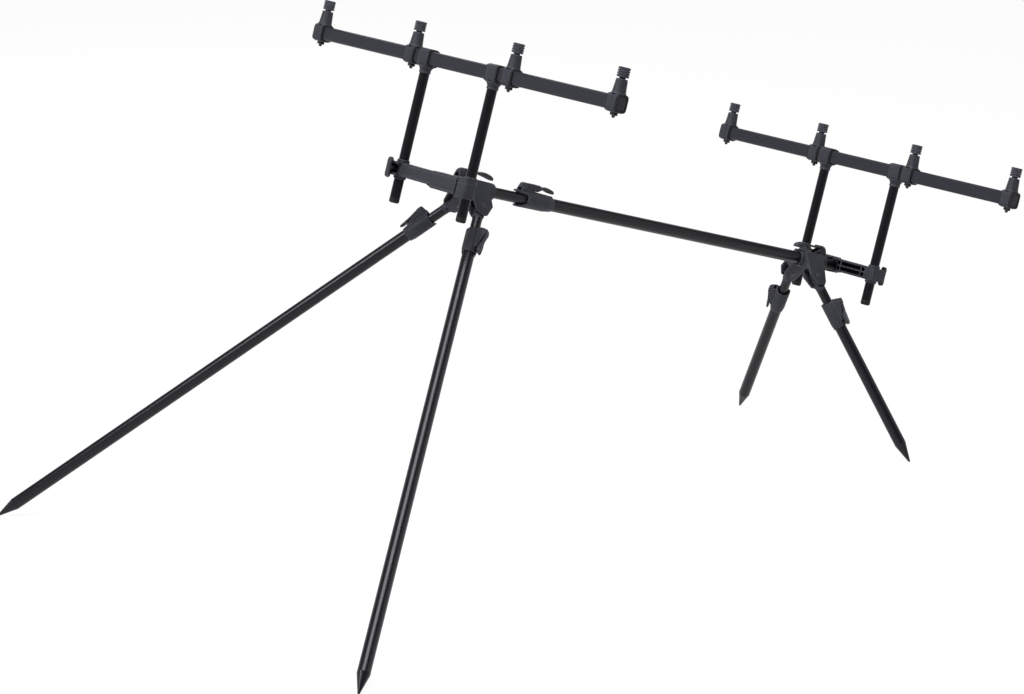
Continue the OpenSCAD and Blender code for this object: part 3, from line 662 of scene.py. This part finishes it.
def lever_shape(path, arm_t, paddle_t, paddle_from, spoon_from, brow, web):
    """Cam lever about its pin: a toothed cam block and an arm along a curve that ends in a thumb paddle."""
    shape = Shape()
    cam = [(-4.6, 2.6), (-2.4, 4.9), (4.4, 4.9), (5.4, 2.5), (5.2, -5), (-1, -4.8), (-4.6, -2.4)]
    shape.slab(rounded(cam, radius=1.8), LEVER_W, edge=0.5, at=SIDE_ON)
    if brow:
        low, high = brow
        shape.block((low, -PADDLE_W / 2, -11), (high, PADDLE_W / 2, -1), 0.9)
    if web:
        shape.slab(rounded(web, radius=1.2), LEVER_W - 0.8, edge=0.5, at=SIDE_ON)
    arm_w = LEVER_W - 0.6
    stations = []
    for i in range(ARM_STEPS + 1):
        t = i / ARM_STEPS
        spot, slope = curve_at(path, t)
        paddle = ease(t, paddle_from, paddle_from + PADDLE_RISE)
        spoon = ease(t, spoon_from, spoon_from + PADDLE_RISE)
        tip = tip_share(t, start=0.86, least=0.03)
        width = (arm_w + (PADDLE_W - arm_w) * paddle) * (0.5 + 0.5 * tip)
        thick = (arm_t + (paddle_t - arm_t) * spoon) * (0.3 + 0.7 * tip)
        stations.append((spot.x, spot.y, slope, width, thick))
    shape.sweep(stations, corner=1.5)
    spot, slope = curve_at(path, GRIP_AT)
    outward = Vector((-slope.y, slope.x))
    outward *= 1 if outward.x > 0 else -1
    grip = Matrix((
        (slope.x, 0, outward.x, spot.x), (0, 1, 0, 0), (slope.y, 0, outward.y, spot.y), (0, 0, 0, 1),
    ))
    add_ribs(
        shape, RIB_ROW, LEVER, grip, count=6, reach=paddle_t / 2 - 0.1, start=-3.75, step=1.5, rib_length=8.4,
        rib_radius=0.45,
    )
    add_ribs(
        shape, RIB_RING, LEVER, SIDE_ON, count=6, reach=float(CAM_R), start=math.radians(18),
        step=math.radians(14), rib_length=float(LEVER_W - 1), rib_radius=0.45,
    )
    return shape


def both_ends(head):
    """Profile of a pin with the same head at both ends, from its upper half."""
    return [(r, -z) for r, z in reversed(head)] + head


def lever_pin():
    """Steel pin through the cheeks with domed heads."""
    shape = Shape()
    half = LEVER_W / 2 + SIDE_GAP + CHEEK_T
    r = PIN_D / 2
    shape.lathe(both_ends([(r, half), (r * 0.6, half + 0.4), (0, half + 0.5)]), SIDE_ON, steps=24)
    return shape


def dress_lever(name, mouth, form):
    at = lever_frame(name, mouth)
    build(name + "_handle", lever_shape(**form), at, LEVER, name, [name])
    build(name + "_pin", lever_pin(), at, BLACK_STEEL, name)


LEG_CLAMP = {
    "radius": 11.5, "length": 45, "tube_d": LEG_OUTER_D, "inner_d": LEG_INNER_D, "taper": 7,
    "lips": (0, 0), "notch": 3,
}
MAIN_CLAMP = {
    "radius": 12.5, "length": 66, "tube_d": MAIN_OUTER_D, "inner_d": MAIN_INNER_D, "taper": 13,
    "lips": (6.3, 1.5), "notch": 14,
}
# A leg clamp's fins run along this share of it, and the main clamp's cheeks end this far before its foot
FIN_SHARE = 0.8
BOX_FOOT = 4
# Lever arms: a curve in the pin's frame with its start, two pulls and tip, and thicknesses along it
LEG_LEVER = {
    "path": [(2.9, 1), (2.4, -12), (-3.2, -24), (-2.4, -38)], "arm_t": 4.2, "paddle_t": 4.0,
    "paddle_from": 0.46, "spoon_from": 0.46, "brow": None, "web": None,
}
MAIN_LEVER = {
    "path": [(3.4, 1), (4, -22), (3, -38), (-1.8, -57)], "arm_t": 3.6, "paddle_t": 5.8,
    "paddle_from": 0.56, "spoon_from": 0.6, "brow": None,
    "web": [(4.6, -2), (4.6, -30), (2.4, -36), (0.2, -36), (-4.4, -27), (-4.4, -5)],
}
HUB_LEVER = {
    "path": [(3, 1), (0.8, -22), (7.2, -36), (-2, -59)], "arm_t": 3.2, "paddle_t": 6.4,
    "paddle_from": 0.24, "spoon_from": 0.5, "brow": (2.5, 6.4), "web": None,
}


def dress_clamp(name, lever, body, mouth, size, cheek):
    shape = Shape()
    collar(shape, **size)
    cheeks(shape, cheek)
    at = mouth_frame(lever, mouth, size["radius"])
    build(name + "_body", shape, at, HOUSING, body, [name])


def dress_clamps():
    box = box_outline(MAIN_CLAMP["radius"], MAIN_CLAMP["length"] - BOX_FOOT)
    dress_clamp("main_clamp", "main_lever", "rear_frame", -ALONG, MAIN_CLAMP, box)
    dress_lever("main_lever", -ALONG, MAIN_LEVER)
    for end in ("front", "rear"):
        dress_lever(end + "_hub_lever", axis_of(end + "_arm_slide"), HUB_LEVER)
    fin = fin_outline(LEG_CLAMP["radius"], LEG_CLAMP["length"] * FIN_SHARE)
    for leg in LEGS:
        mouth = -axis_of(leg + "_leg_extend")
        dress_clamp(leg + "_clamp", leg + "_lever", leg + "_leg_lower", mouth, LEG_CLAMP, fin)
        dress_lever(leg + "_lever", mouth, LEG_LEVER)


# Hubs


def ear_frame(side):
    """Frame of one pair of ears in its end's frame: Z up along the ears, Y square to them."""
    return Matrix.Rotation(side * EAR_SPLAY, 4, "X") @ Matrix.Translation((0, side * EAR_OFFSET, -PIVOT_DROP))


def hub_collar(shape, inboard, tube_d):
    """Collar on the bar axis: stem bore outboard, main tube bore inboard."""
    stem = MAIN_INNER_D / 2 + SLIDE_GAP
    tube = tube_d / 2 + SEAT_GAP
    last = HUB_R - 0.02 * inboard
    inside, outside = mouth_rim(stem, HUB_R, -HUB_OUTBOARD, 1)
    profile = inside + [
        (stem, -1), (tube, -1), (tube, inboard), (last - 1.1, inboard), (last - 0.3, inboard - 0.7),
        (last, inboard - 1.8), (HUB_R, 9),
    ] + outside
    shape.lathe(profile, ALONG_X, loop=True)


def ear_outline(top):
    """Ear plate round its pivot with clipped corners; its outboard edge, on the left, leans out upwards."""
    heel, drop = EAR_HEEL
    back = heel + (EAR_BACK - heel) * (top + drop) / (EAR_PEAK + drop)
    return rounded([
        (-back, top), (-heel, -drop), (-10, -EAR_LOW), (4, -EAR_LOW), (EAR_FORE, 0), (EAR_FORE, top),
    ], 2.2)


# Rounding of the ears' edges
EAR_EDGE = 0.8
# Middle over the pivot and height of the web between the ears, and of the wedge that fills in to the collar
WEB_AT = 20
WEB_H = 17.4
WEDGE_AT = 33
WEDGE_H = 11
WEDGE_W = 8
WEDGE_OUT = 3.6
# Length of the fins beside a hub's lever
HUB_FIN = 26


def hub_ears(shape, side):
    """Two ear plates and the web that ties them to the collar; the outer plate runs on beside the collar."""
    at = ear_frame(side)
    for face in (-1, 1):
        lift = Matrix.Translation((0, face * (EAR_GAP + EAR_T / 2), 0))
        shape.slab(ear_outline(EAR_PEAK if face == side else EAR_TOP), EAR_T, EAR_EDGE, at @ lift @ SIDE_ON)
    depth = BRIDGE_BACK + EAR_FORE - 0.8
    middle = (EAR_FORE - BRIDGE_BACK) / 2
    web = Matrix.Translation((middle, 0, WEB_AT))
    shape.slab(rectangle(depth, 2 * (EAR_GAP + EAR_T) - 1.2, 1.5), WEB_H, EAR_EDGE, at @ web)
    wedge = Matrix.Translation((middle, side * WEDGE_OUT, WEDGE_AT))
    shape.slab(rectangle(depth, WEDGE_W, 1.5), WEDGE_H, EAR_EDGE, at @ wedge)


def dress_pins(end):
    """Leg pivots: flush pins with a head at each end."""
    shape = Shape()
    face = EAR_GAP + EAR_T
    head = [(3, face), (4.2, face), (3.8, face + 0.4), (3.4, face + 0.6), (0, face + 0.6)]
    for side in (-1, 1):
        turn = ear_frame(side) @ Matrix.Rotation(-side * math.pi / 2, 4, "X")
        shape.lathe(both_ends(head), turn, steps=32)
    build(end + "_pivot_screws", shape, end_frame(end), NUT, end + "_frame",
          [end + "_leg_pins"])


def dress_hub(end):
    shape = Shape()
    hub_collar(shape, HUB_INBOARD[end], MAIN_INNER_D if end == "front" else MAIN_OUTER_D)
    for side in (-1, 1):
        hub_ears(shape, side)
    mouth = Matrix.Translation((-HUB_OUTBOARD, 0, 0)) @ Matrix.Rotation(-math.pi / 2, 4, "Y")
    cheeks(shape, fin_outline(HUB_R, HUB_FIN), mouth)
    build(end + "_hub_body", shape, end_frame(end), HOUSING, end + "_frame", [end + "_hub"])


# Legs


# Distances below a leg's pivot: the top of its inner tube, and the end of the plug in it
TUBE_TOP = 23
PLUG_END = 39


def dress_knuckle(leg):
    """Tongue between the ears, a round shoulder on the tube's end and the plug inside the tube."""
    shape = Shape()
    tongue = [(-7.2, -21.5), (7.2, -21.5), (7.6, -4), (6.2, 6.2), (0, 8.4), (-6.2, 6.2), (-7.6, -4)]
    shape.slab(rounded(tongue, radius=5.5, steps=6), thickness=9.8, edge=0.7, at=SIDE_ON)
    plug = LEG_INNER_D / 2 - LEG_INNER_WALL - SEAT_GAP
    shoulder = LEG_INNER_D / 2 + 0.1
    shape.lathe([
        (0, -PLUG_END), (plug - 0.6, -PLUG_END), (plug, 1 - PLUG_END), (plug, -TUBE_TOP),
        (shoulder - 0.3, -TUBE_TOP), (shoulder, 0.6 - TUBE_TOP), (shoulder, -18.6), (shoulder - 1.4, -16.8),
        (0, -16.4),
    ])
    build(leg + "_knuckle_body", shape, leg_frame(leg), HOUSING, leg + "_leg_upper",
          [leg + "_knuckle"])


# Cross arms

# Corners and walls of an arm's halves: X runs inboard from the back wall, Y to the slim end, Z up
SLIM_HALF = {"low": (-9.8, -8, -8), "high": (9, 70, 12), "back_t": 3.8, "flange_t": 3, "edge": 0.7}
STOUT_HALF = {"low": (-12, -63, -11.5), "high": (12, -5, 13.5), "back_t": 4, "flange_t": 3.5, "edge": 1.4}
# Step of a back wall behind the edges of its flanges
WALL_STEP = (0.2, 0.4, 0.4)
# Ribs of the slim half: thickness, rounding, X range, bottom of the level one and places of the upright ones
RIB_T = 2.2
RIB_EDGE = 0.4
RIB_X = (-8, 8.4)
LEVEL_RIB = 0.9
UPRIGHT_RIBS = (13, 58)
# Rounding of the dark sheets of painted shade
SHADE_SHEET_EDGE = 0.2
# Bands of the near block from bottom to top, with grooves between them, and half the far block's side
NEAR_BANDS = ((-13.5, 8.2), (9.2, 11.8), (12.8, 15.5))
GROOVE_DEPTH = 0.8
GROOVE_LAP = 0.6
FAR_HALF = 10.5
BLOCK_STEPS = 64
# Bracket behind the far block: X range, rounding and thickness of its lips
BRACKET_X = (-18.5, -9.6)
BRACKET_EDGE = 0.8
LIP_T = 3.5
# Guide rings round the uprights: place along the arm, bottom and top
POST_BORE = POST_D / 2 + SLIDE_GAP
GUIDE_R = 9.2
GUIDES = ((-POST_Y, 15, 17.8), (POST_Y, 11.5, 16), (POST_Y, -12, -7.5))


def channel(shape, low, high, back_t, flange_t, edge):
    """Channel that opens inboard: two flanges, and a back wall that stands just inside their edges."""
    x, y, z = WALL_STEP
    shape.block((low[0] + x, low[1] + y, low[2] + z), (low[0] + back_t, high[1] - y, high[2] - z), edge)
    shape.block((low[0], low[1], high[2] - flange_t), high, edge)
    shape.block(low, (high[0], high[1], low[2] + flange_t), edge)


def arm_halves(shape):
    """Slim half with its ribs, and the stout half up to the slit before the near block."""
    channel(shape, **SLIM_HALF)
    back, face = RIB_X
    (_, start, low), (_, stop, high) = SLIM_HALF["low"], SLIM_HALF["high"]
    shape.block((back, start, LEVEL_RIB), (face, stop, LEVEL_RIB + RIB_T), RIB_EDGE)
    for y in UPRIGHT_RIBS:
        shape.block((back, y, low + 1), (face, y + RIB_T, high - 1), RIB_EDGE)
    channel(shape, **STOUT_HALF)
    # The stout half is solid at its end, and hollow with a level rib beside the stem
    shape.block((-10, -62.8, -10), (11.2, -30, 12), 0.8)
    shape.block((-9, -31, -0.4), (10.6, -5, 2.4), RIB_EDGE)
    # The near block's shoulder, and the neck that crosses the slit to it
    shape.block((-12, POST_BORE - POST_Y, -12.5), (7, -65.5, 13.4), 1.2)
    shape.block((-7, -67, -10.8), (6.4, -61, 12.4), 0.6)


def end_blocks(shape):
    """End blocks bored for the uprights; two grooves run round the near block's top."""
    near = [p + Vector((-2.25, 2.75)) for p in rectangle(23.5, 24.5, 9.5, 10)]
    waist = inset(near, GROOVE_DEPTH)
    far = rectangle(2 * FAR_HALF, 2 * FAR_HALF, 2.5)
    slabs = [(near, -POST_Y, low, high) for low, high in NEAR_BANDS]
    for (_, low), (high, _) in zip(NEAR_BANDS, NEAR_BANDS[1:]):
        slabs.append((waist, -POST_Y, low - GROOVE_LAP, high + GROOVE_LAP))
    slabs.append((far, POST_Y, SLIM_HALF["low"][2], SLIM_HALF["high"][2]))
    for outline, y, low, high in slabs:
        outline = evenly(outline, BLOCK_STEPS)
        hole = [p.normalized() * POST_BORE for p in outline]
        edge = min(1.1, (high - low) / 4)
        shape.slab(outline, high - low, edge, Matrix.Translation((0, y, (low + high) / 2)), hole)


def bracket(shape):
    """Bracket round the wing screw: two lips and an outer wall leave a recess that opens to the middle."""
    low, high = SLIM_HALF["low"][2], SLIM_HALF["high"][2]
    back, face = BRACKET_X
    start, stop = POST_Y - FAR_HALF, POST_Y + FAR_HALF
    for bottom in (high - LIP_T, low):
        shape.block((back, start, bottom), (face, stop, bottom + LIP_T), BRACKET_EDGE)
    step, _, rise = WALL_STEP
    shape.block(
        (back + step, POST_Y + 5.5, low + rise), (face - step, stop - step, high - rise), BRACKET_EDGE,
    )


def guide_rings(shape):
    """Rings on the end blocks that guide the uprights."""
    for y, low, high in GUIDES:
        shape.lathe([
            (POST_BORE, low), (POST_BORE, high), (GUIDE_R - 0.6, high), (GUIDE_R, high - 0.7),
            (GUIDE_R, low + 0.9), (GUIDE_R - 0.6, low),
        ], Matrix.Translation((0, y, 0)), loop=True)


def arm_shade_sheets():
    """Dark sheets of painted shade: the stem's socket, on the channel's back wall, beside the stem and in the
    bracket.
    """
    shaded_hollows = Shape()
    socket = MAIN_INNER_D / 2 + SEAT_GAP
    shaded_hollows.lathe(
        [(socket, -1), (socket, 9.5), (9.4, 9.5), (9.8, 9), (9.8, -8), (3, -8), (3, -1)], ALONG_X, loop=True,
    )
    shaded_hollows.block((-6.2, -8, -5.2), (-5.2, 68.4, 9.2), SHADE_SHEET_EDGE)
    shaded_hollows.block((-8.2, -30.4, -8.2), (-7.2, -5, 10.2), SHADE_SHEET_EDGE)
    shaded_hollows.block((-17.8, POST_Y + 4.6, -4.7), (-10.2, POST_Y + 5.8, 8.7), SHADE_SHEET_EDGE)
    return shaded_hollows


def dress_arm(end):
    """Cross arm: ribbed slim half, stout half, end blocks with upright guides, bracket and dark sheets of
    painted shade.
    """
    shape = Shape()
    arm_halves(shape)
    end_blocks(shape)
    bracket(shape)
    guide_rings(shape)
    at = end_frame(end) @ Matrix.Translation((-ARM_OUT, 0, 0))
    build(end + "_arm_body", shape, at, HOUSING, end + "_cross_arm", [end + "_arm"])
    # Painted shade: dark sheets in the arm's channel, beside the stem and in the bracket
    build(end + "_arm_pads", arm_shade_sheets(), at, DARK_RUBBER_AND_SHADE, end + "_cross_arm")


# Stations along a wing screw's grip, and its reach from the middle
WING_STEPS = 20
WING_REACH = 14


def dress_wing_screw(end):
    """Wing screw on the slim end's block: a waisted grip with hooked ends on a steel shank."""
    joint = JOINTS[end + "_wing_screw_turn"]
    x = Vector(joint["axis"]).normalized()
    at = place(Vector(joint["pos_m"]), x, UP.cross(x), UP)
    grip = Shape()
    stations = []
    for i in range(WING_STEPS + 1):
        rise = 2 * i / WING_STEPS - 1
        slope = Vector((1.2 * rise ** 3, 1)).normalized()
        tip = tip_share(abs(rise), start=0.8, least=0.05)
        width = (7.4 + 3.6 * rise * rise) * (0.5 + 0.5 * tip)
        thick = 5 * (0.4 + 0.6 * tip)
        stations.append((-5.4 + 2.2 * rise ** 4, WING_REACH * rise, slope, width, thick))
    grip.sweep(stations, corner=1.6)
    grip.lathe([(0, -6), (3.6, -6), (4, -5.4), (4, -0.9), (3.6, -0.4), (0, -0.4)], ALONG_X, steps=32)
    build(end + "_wing_screw_grip", grip, at, LEVER, end + "_wing_screw", [end + "_arm_screw"])
    shank = Shape()
    shank.lathe([(0, -2), (3, -2), (3, 10), (2.2, 10.6), (0, 10.6)], ALONG_X, steps=32)
    build(end + "_wing_screw_shank", shank, at, BLACK_STEEL, end + "_wing_screw")


# Buzz bars


def rest_places(end):
    """Places along a bar: the outer rests close its ends, the inner ones stand beside the tee collars."""
    outer = (BAR_LEN[end] - REST_W) / 2 + CAP_T
    inner = POST_Y + (TEE_W + REST_W) / 2 + REST_GAP[end]
    return -outer, -inner, inner, outer


# Band of painted shade at a sleeve's ends: its width, its lap under the sleeve and its step below the face
SHADE_BAND_W = 3
SHADE_BAND_LAP = 0.3
SHADE_BAND_STEP = 0.7


def sleeve(shape, liner, width, y):
    """Collar round the buzz bar: a rounded sleeve, with a dark band of painted shade at each end."""
    bore = rectangle(BAR_DEPTH + 2 * SEAT_GAP, BAR_H + 2 * SEAT_GAP, BAR_CORNER, 6)
    outer = rectangle(BAR_DEPTH + 2 * COLLAR_WALL, BAR_H + 2 * COLLAR_WALL, BAR_CORNER + COLLAR_WALL, 6)
    slim = inset(outer, SHADE_BAND_STEP)
    turn = Matrix.Translation((0, y, 0)) @ SIDE_ON
    shape.slab(outer, width - 2 * (SHADE_BAND_W - SHADE_BAND_LAP), 0.8, turn, bore)
    for side in (-1, 1):
        lip = Matrix.Translation((0, side * (width - SHADE_BAND_W) / 2, 0))
        liner.slab(slim, SHADE_BAND_W, 0.6, lip @ turn, bore)


# Drop of a tee collar's socket below its sleeve
SOCKET_DROP = 9


def dress_tees(end):
    """Tee collars: a sleeve on the bar with a flared socket and a ring over each upright."""
    shape, liner = Shape(), Shape()
    socket = POST_D / 2 + SEAT_GAP
    low = -COLLAR_TOP - SOCKET_DROP
    for side in (-1, 1):
        y = side * POST_Y
        sleeve(shape, liner, TEE_W, y)
        shape.lathe([
            (socket, low), (8.3, low), (8.7, low + 0.4), (8.7, low + 1.8), (8.3, low + 2.1), (8.4, low + 4.4),
            (8.9, low + 6), (9.8, low + 7.6), (11, low + 8.8), (11.2, low + 11), (socket, low + 11),
        ], Matrix.Translation((0, y, 0)), loop=True)
    build(end + "_tee_bodies", shape, bar_frame(end), HOUSING, end + "_goal_post",
          [end + "_tee_collars"])
    # Painted shade: dark bands at the sleeves' ends
    build(end + "_tee_liners", liner, bar_frame(end), DARK_RUBBER_AND_SHADE, end + "_goal_post")


# Split lug under a rest: its halves' width and length, its height, its root in the sleeve and its slit
LUG_W = 4
LUG_L = 8
LUG_H = 5
LUG_ROOT = 1
LUG_SLIT = 1
# Plate that closes a bar's end, and its gap to the bar
PLATE_T = 2.2
PLATE_GAP = 0.1


def dress_rests(end):
    """Rod rests: a split sleeve with a bolt lug, a tapered post and a spigot; the outer ones cap the bar."""
    shape, liner = Shape(), Shape()
    for y in rest_places(end):
        sleeve(shape, liner, REST_W, y)
        spot = Matrix.Translation((0, y, 0))
        top = COLLAR_TOP + REST_POST_H
        shape.lathe([
            (0, COLLAR_TOP - 1), (11, COLLAR_TOP - 1), (10.3, COLLAR_TOP + 0.4), (9.6, COLLAR_TOP + 2),
            (8.2, top - 2.2), (8.05, top - 0.8), (7.4, top), (SPIGOT_D / 2, top), (SPIGOT_D / 2, top + 6.5),
            (SPIGOT_D / 2 - 0.6, top + 6.7), (0, top + 6.7),
        ], spot)
        for side in (-1, 1):
            half = Matrix.Translation((side * (LUG_W + LUG_SLIT) / 2, y, LUG_ROOT - COLLAR_TOP - LUG_H / 2))
            shape.slab(rectangle(LUG_W, LUG_L, 1.8), LUG_H, 1.2, half)
    plate = rectangle(BAR_DEPTH, BAR_H, BAR_CORNER)
    for side in (-1, 1):
        middle = side * (BAR_LEN[end] / 2 + PLATE_GAP + PLATE_T / 2)
        shape.slab(plate, PLATE_T, 0.6, Matrix.Translation((0, middle, 0)) @ SIDE_ON)
    build(end + "_rest_bodies", shape, bar_frame(end), HOUSING, end + "_goal_post",
          [end + "_rests"])
    # Painted shade: dark bands at the sleeves' ends
    build(end + "_rest_liners", liner, bar_frame(end), DARK_RUBBER_AND_SHADE, end + "_goal_post")


def dress_bolts(end):
    """Clamp bolts under the rests: a low dome below each lug."""
    shape = Shape()
    for y in rest_places(end):
        spot = Matrix.Translation((0, y, -COLLAR_TOP))
        shape.lathe([
            (0, -7.4), (1.4, -7.2), (2.3, -6.4), (2.5, -5.4), (2.4, -4.2), (1.6, -3.8), (1.6, 1), (0, 1),
        ], spot, steps=28)
    build(end + "_rest_bolt_heads", shape, bar_frame(end), BLACK_STEEL, end + "_goal_post",
          [end + "_rest_bolts"])


# A thumb nut's ribs round each band, its thread's turns, and the radius of its lower bore on the spigot
NUT_RIBS = 30
THREAD_TURNS = 8
NUT_ENTRY = 4.6


def dress_nut(end, i):
    """Thumb nut in ribbed bands, with its threaded bore."""
    name = f"{end}_nut_{i}"
    x = UP.orthogonal().normalized()
    at = place(Vector(JOINTS[name + "_turn"]["pos_m"]), x, UP.cross(x), UP)
    shape = Shape()
    bore = THREAD_D / 2
    outer = NUT_D / 2
    neck, band = outer - 1.4, outer - 0.7
    profile = [(NUT_ENTRY, 0), (neck, 0)]
    for low in NUT_BANDS:
        high = low + NUT_BAND
        profile += [(neck, low), (band, low + 0.2), (band, high - 0.2), (neck, high)]
    profile += [(neck, NUT_H), (bore + 0.7, NUT_H)]
    for turn in range(THREAD_TURNS):
        z = NUT_H - 0.7 - turn
        profile += [(bore, z), (bore + 0.35, z - 0.5)]
    profile += [(bore, NUT_SEAT + 0.6), (NUT_ENTRY, NUT_SEAT)]
    shape.lathe(profile, loop=True)
    for low in NUT_BANDS:
        middle = Matrix.Translation((0, 0, low + NUT_BAND / 2))
        add_ribs(
            shape, RIB_RING, NUT, middle, count=NUT_RIBS, reach=outer - 0.65, start=0.0,
            step=2 * math.pi / NUT_RIBS, rib_length=NUT_BAND - 0.3, rib_radius=0.6,
        )
    build(name + "_cap", shape, at, NUT, name, [name])


# Tubes and hardware that keep their solids


def paint(material, *names):
    for name in names:
        mesh = NODES[name].data
        mesh.materials.clear()
        mesh.materials.append(material)


def paint_solids():
    across = Vector((0, 1, 0))
    main = anodised("anodised_main", ALONG, level=0.007, roughness=0.27, gloss=0.26)
    paint(main, "main_inner_tube", "main_outer_tube")
    uprights = anodised("anodised_uprights", UP, level=0.004, roughness=0.28, gloss=0.15)
    paint(uprights, "front_uprights", "rear_uprights")
    bars = anodised("anodised_bars", across, level=0.017, roughness=0.42, gloss=0.24)
    paint(bars, "front_bar", "rear_bar")
    # Painted shade: the stems' finish is darker and duller than the other tubes', standing for the shade
    # between hub and arm
    shaded_stem_finish = anodised("anodised_stems", ALONG, level=0.003, roughness=0.4, gloss=0.08)
    paint(shaded_stem_finish, "front_stem", "rear_stem")
    for leg in LEGS:
        along = axis_of(leg + "_leg_extend")
        tubes = anodised(leg + "_anodised", along, level=0.007, roughness=0.27, gloss=0.28)
        paint(tubes, leg + "_inner_tube", leg + "_outer_tube", leg + "_spike")
    paint(DARK_RUBBER_AND_SHADE, "front_upright_plugs", "rear_upright_plugs")


# Stage


CAMERA_PLACE = Vector((-2.915, -3.6003, 1.5361))
CAMERA_AIM = Vector((-0.0366, 0.0293, 0.2429))
CAMERA_LENS = 114.41
SENSOR_WIDTH = 36
# Floor: its half side and its paper, and the strength and share of the white that the camera sees over it
FLOOR_SIZE = 30
FLOOR_PAPER = (0.86, 0.86, 0.87, 1)
FLOOR_WHITE = 1.04
WHITE_SHARE = 0.9
WHITE = (1, 1, 1, 1)
# Sky: its strength at the horizon, and the ranges and losses of its dimming overhead and behind the camera
SKY_STRENGTH = 0.6
CEILING_RANGE = (0.04, 0.5)
CEILING_LOSS = 0.5
BEHIND_RANGE = (0.25, 0.95)
BEHIND_LOSS = 0.5
LAMP_AIM = Vector((0, 0, 0.4))
# Disc lamps: place, diameter and watts
LAMPS = {
    "overhead": ((-0.6, -0.35, 3.6), 2.4, 130),
    "key": ((-3.5, 0.5, 3.4), 2.0, 90),
    "fill": ((2.6, -2.2, 2.2), 2.0, 8),
    "back": ((1.2, 3.4, 2.4), 2.0, 30),
}


def add_camera():
    data = bpy.data.cameras.new("photo_view")
    data.lens = CAMERA_LENS
    data.sensor_width = SENSOR_WIDTH
    camera = bpy.data.objects.new("photo_view", data)
    camera.location = CAMERA_PLACE
    camera.rotation_euler = (CAMERA_AIM - CAMERA_PLACE).to_track_quat("-Z", "Y").to_euler()
    bpy.context.scene.collection.objects.link(camera)
    bpy.context.scene.camera = camera


def add_lamp(name, spot, size, watts):
    data = bpy.data.lights.new(name, "AREA")
    data.shape = "DISK"
    data.size = size
    data.energy = watts
    lamp = bpy.data.objects.new(name, data)
    lamp.location = spot
    lamp.rotation_euler = (LAMP_AIM - Vector(spot)).to_track_quat("-Z", "Y").to_euler()
    bpy.context.scene.collection.objects.link(lamp)


def sees_backdrop(net, gloss=1.0):
    """1 for rays straight from the camera, and the share gloss for rays off a gloss or through glass."""
    shown = net.add("ShaderNodeLightPath")
    for kind in ("Is Glossy Ray", "Is Transmission Ray"):
        shown = shown.math("MAXIMUM", shown, net.add("ShaderNodeLightPath", out=kind) * gloss)
    return shown


def add_floor():
    material, net, _ = new_material("white_floor")
    paper = net.add("ShaderNodeBsdfDiffuse", None, {"Color": FLOOR_PAPER})
    white = net.add("ShaderNodeEmission", None, {"Color": WHITE, "Strength": FLOOR_WHITE})
    mixed = net.add("ShaderNodeMixShader", None, {0: sees_backdrop(net) * WHITE_SHARE, 1: paper, 2: white})
    net.add("ShaderNodeOutputMaterial", None, {"Surface": mixed})
    bm = bmesh.new()
    bmesh.ops.create_grid(bm, x_segments=8, y_segments=8, size=FLOOR_SIZE)
    mesh = bpy.data.meshes.new("floor")
    bm.to_mesh(mesh)
    bm.free()
    mesh.materials.append(material)
    floor = bpy.data.objects.new("floor", mesh)
    bpy.context.scene.collection.objects.link(floor)


def add_world():
    """Pale sky that dims overhead and behind the camera, and that the camera sees as white."""
    world = bpy.data.worlds.new("studio")
    world.use_nodes = True
    world.node_tree.nodes.clear()
    net = Net(world.node_tree)
    toward = net.add("ShaderNodeTexCoord")
    height = net.add("ShaderNodeSeparateXYZ", None, {0: toward}, 2)
    depth = net.add("ShaderNodeSeparateXYZ", None, {0: toward}, 1)
    ceiling = height.between(*CEILING_RANGE)
    room = 1 - (depth * -1.0).between(*BEHIND_RANGE) * BEHIND_LOSS
    dome = (SKY_STRENGTH - ceiling * CEILING_LOSS) * room
    strength = dome + sees_backdrop(net, (1 - ceiling) * room) * (1 - dome)
    sky = net.add("ShaderNodeBackground", None, {"Color": WHITE, "Strength": strength})
    net.add("ShaderNodeOutputWorld", None, {"Surface": sky})
    bpy.context.scene.world = world


dress_clamps()
for end in ("front", "rear"):
    dress_hub(end)
    dress_pins(end)
    dress_arm(end)
    dress_wing_screw(end)
    dress_tees(end)
    dress_rests(end)
    dress_bolts(end)
    for number in range(1, 5):
        dress_nut(end, number)
for leg in LEGS:
    dress_knuckle(leg)
paint_solids()
add_floor()
add_world()
for lamp_name, (spot, size, watts) in LAMPS.items():
    add_lamp(lamp_name, spot, size, watts)
add_camera()
bpy.context.scene.view_settings.view_transform = "Standard"
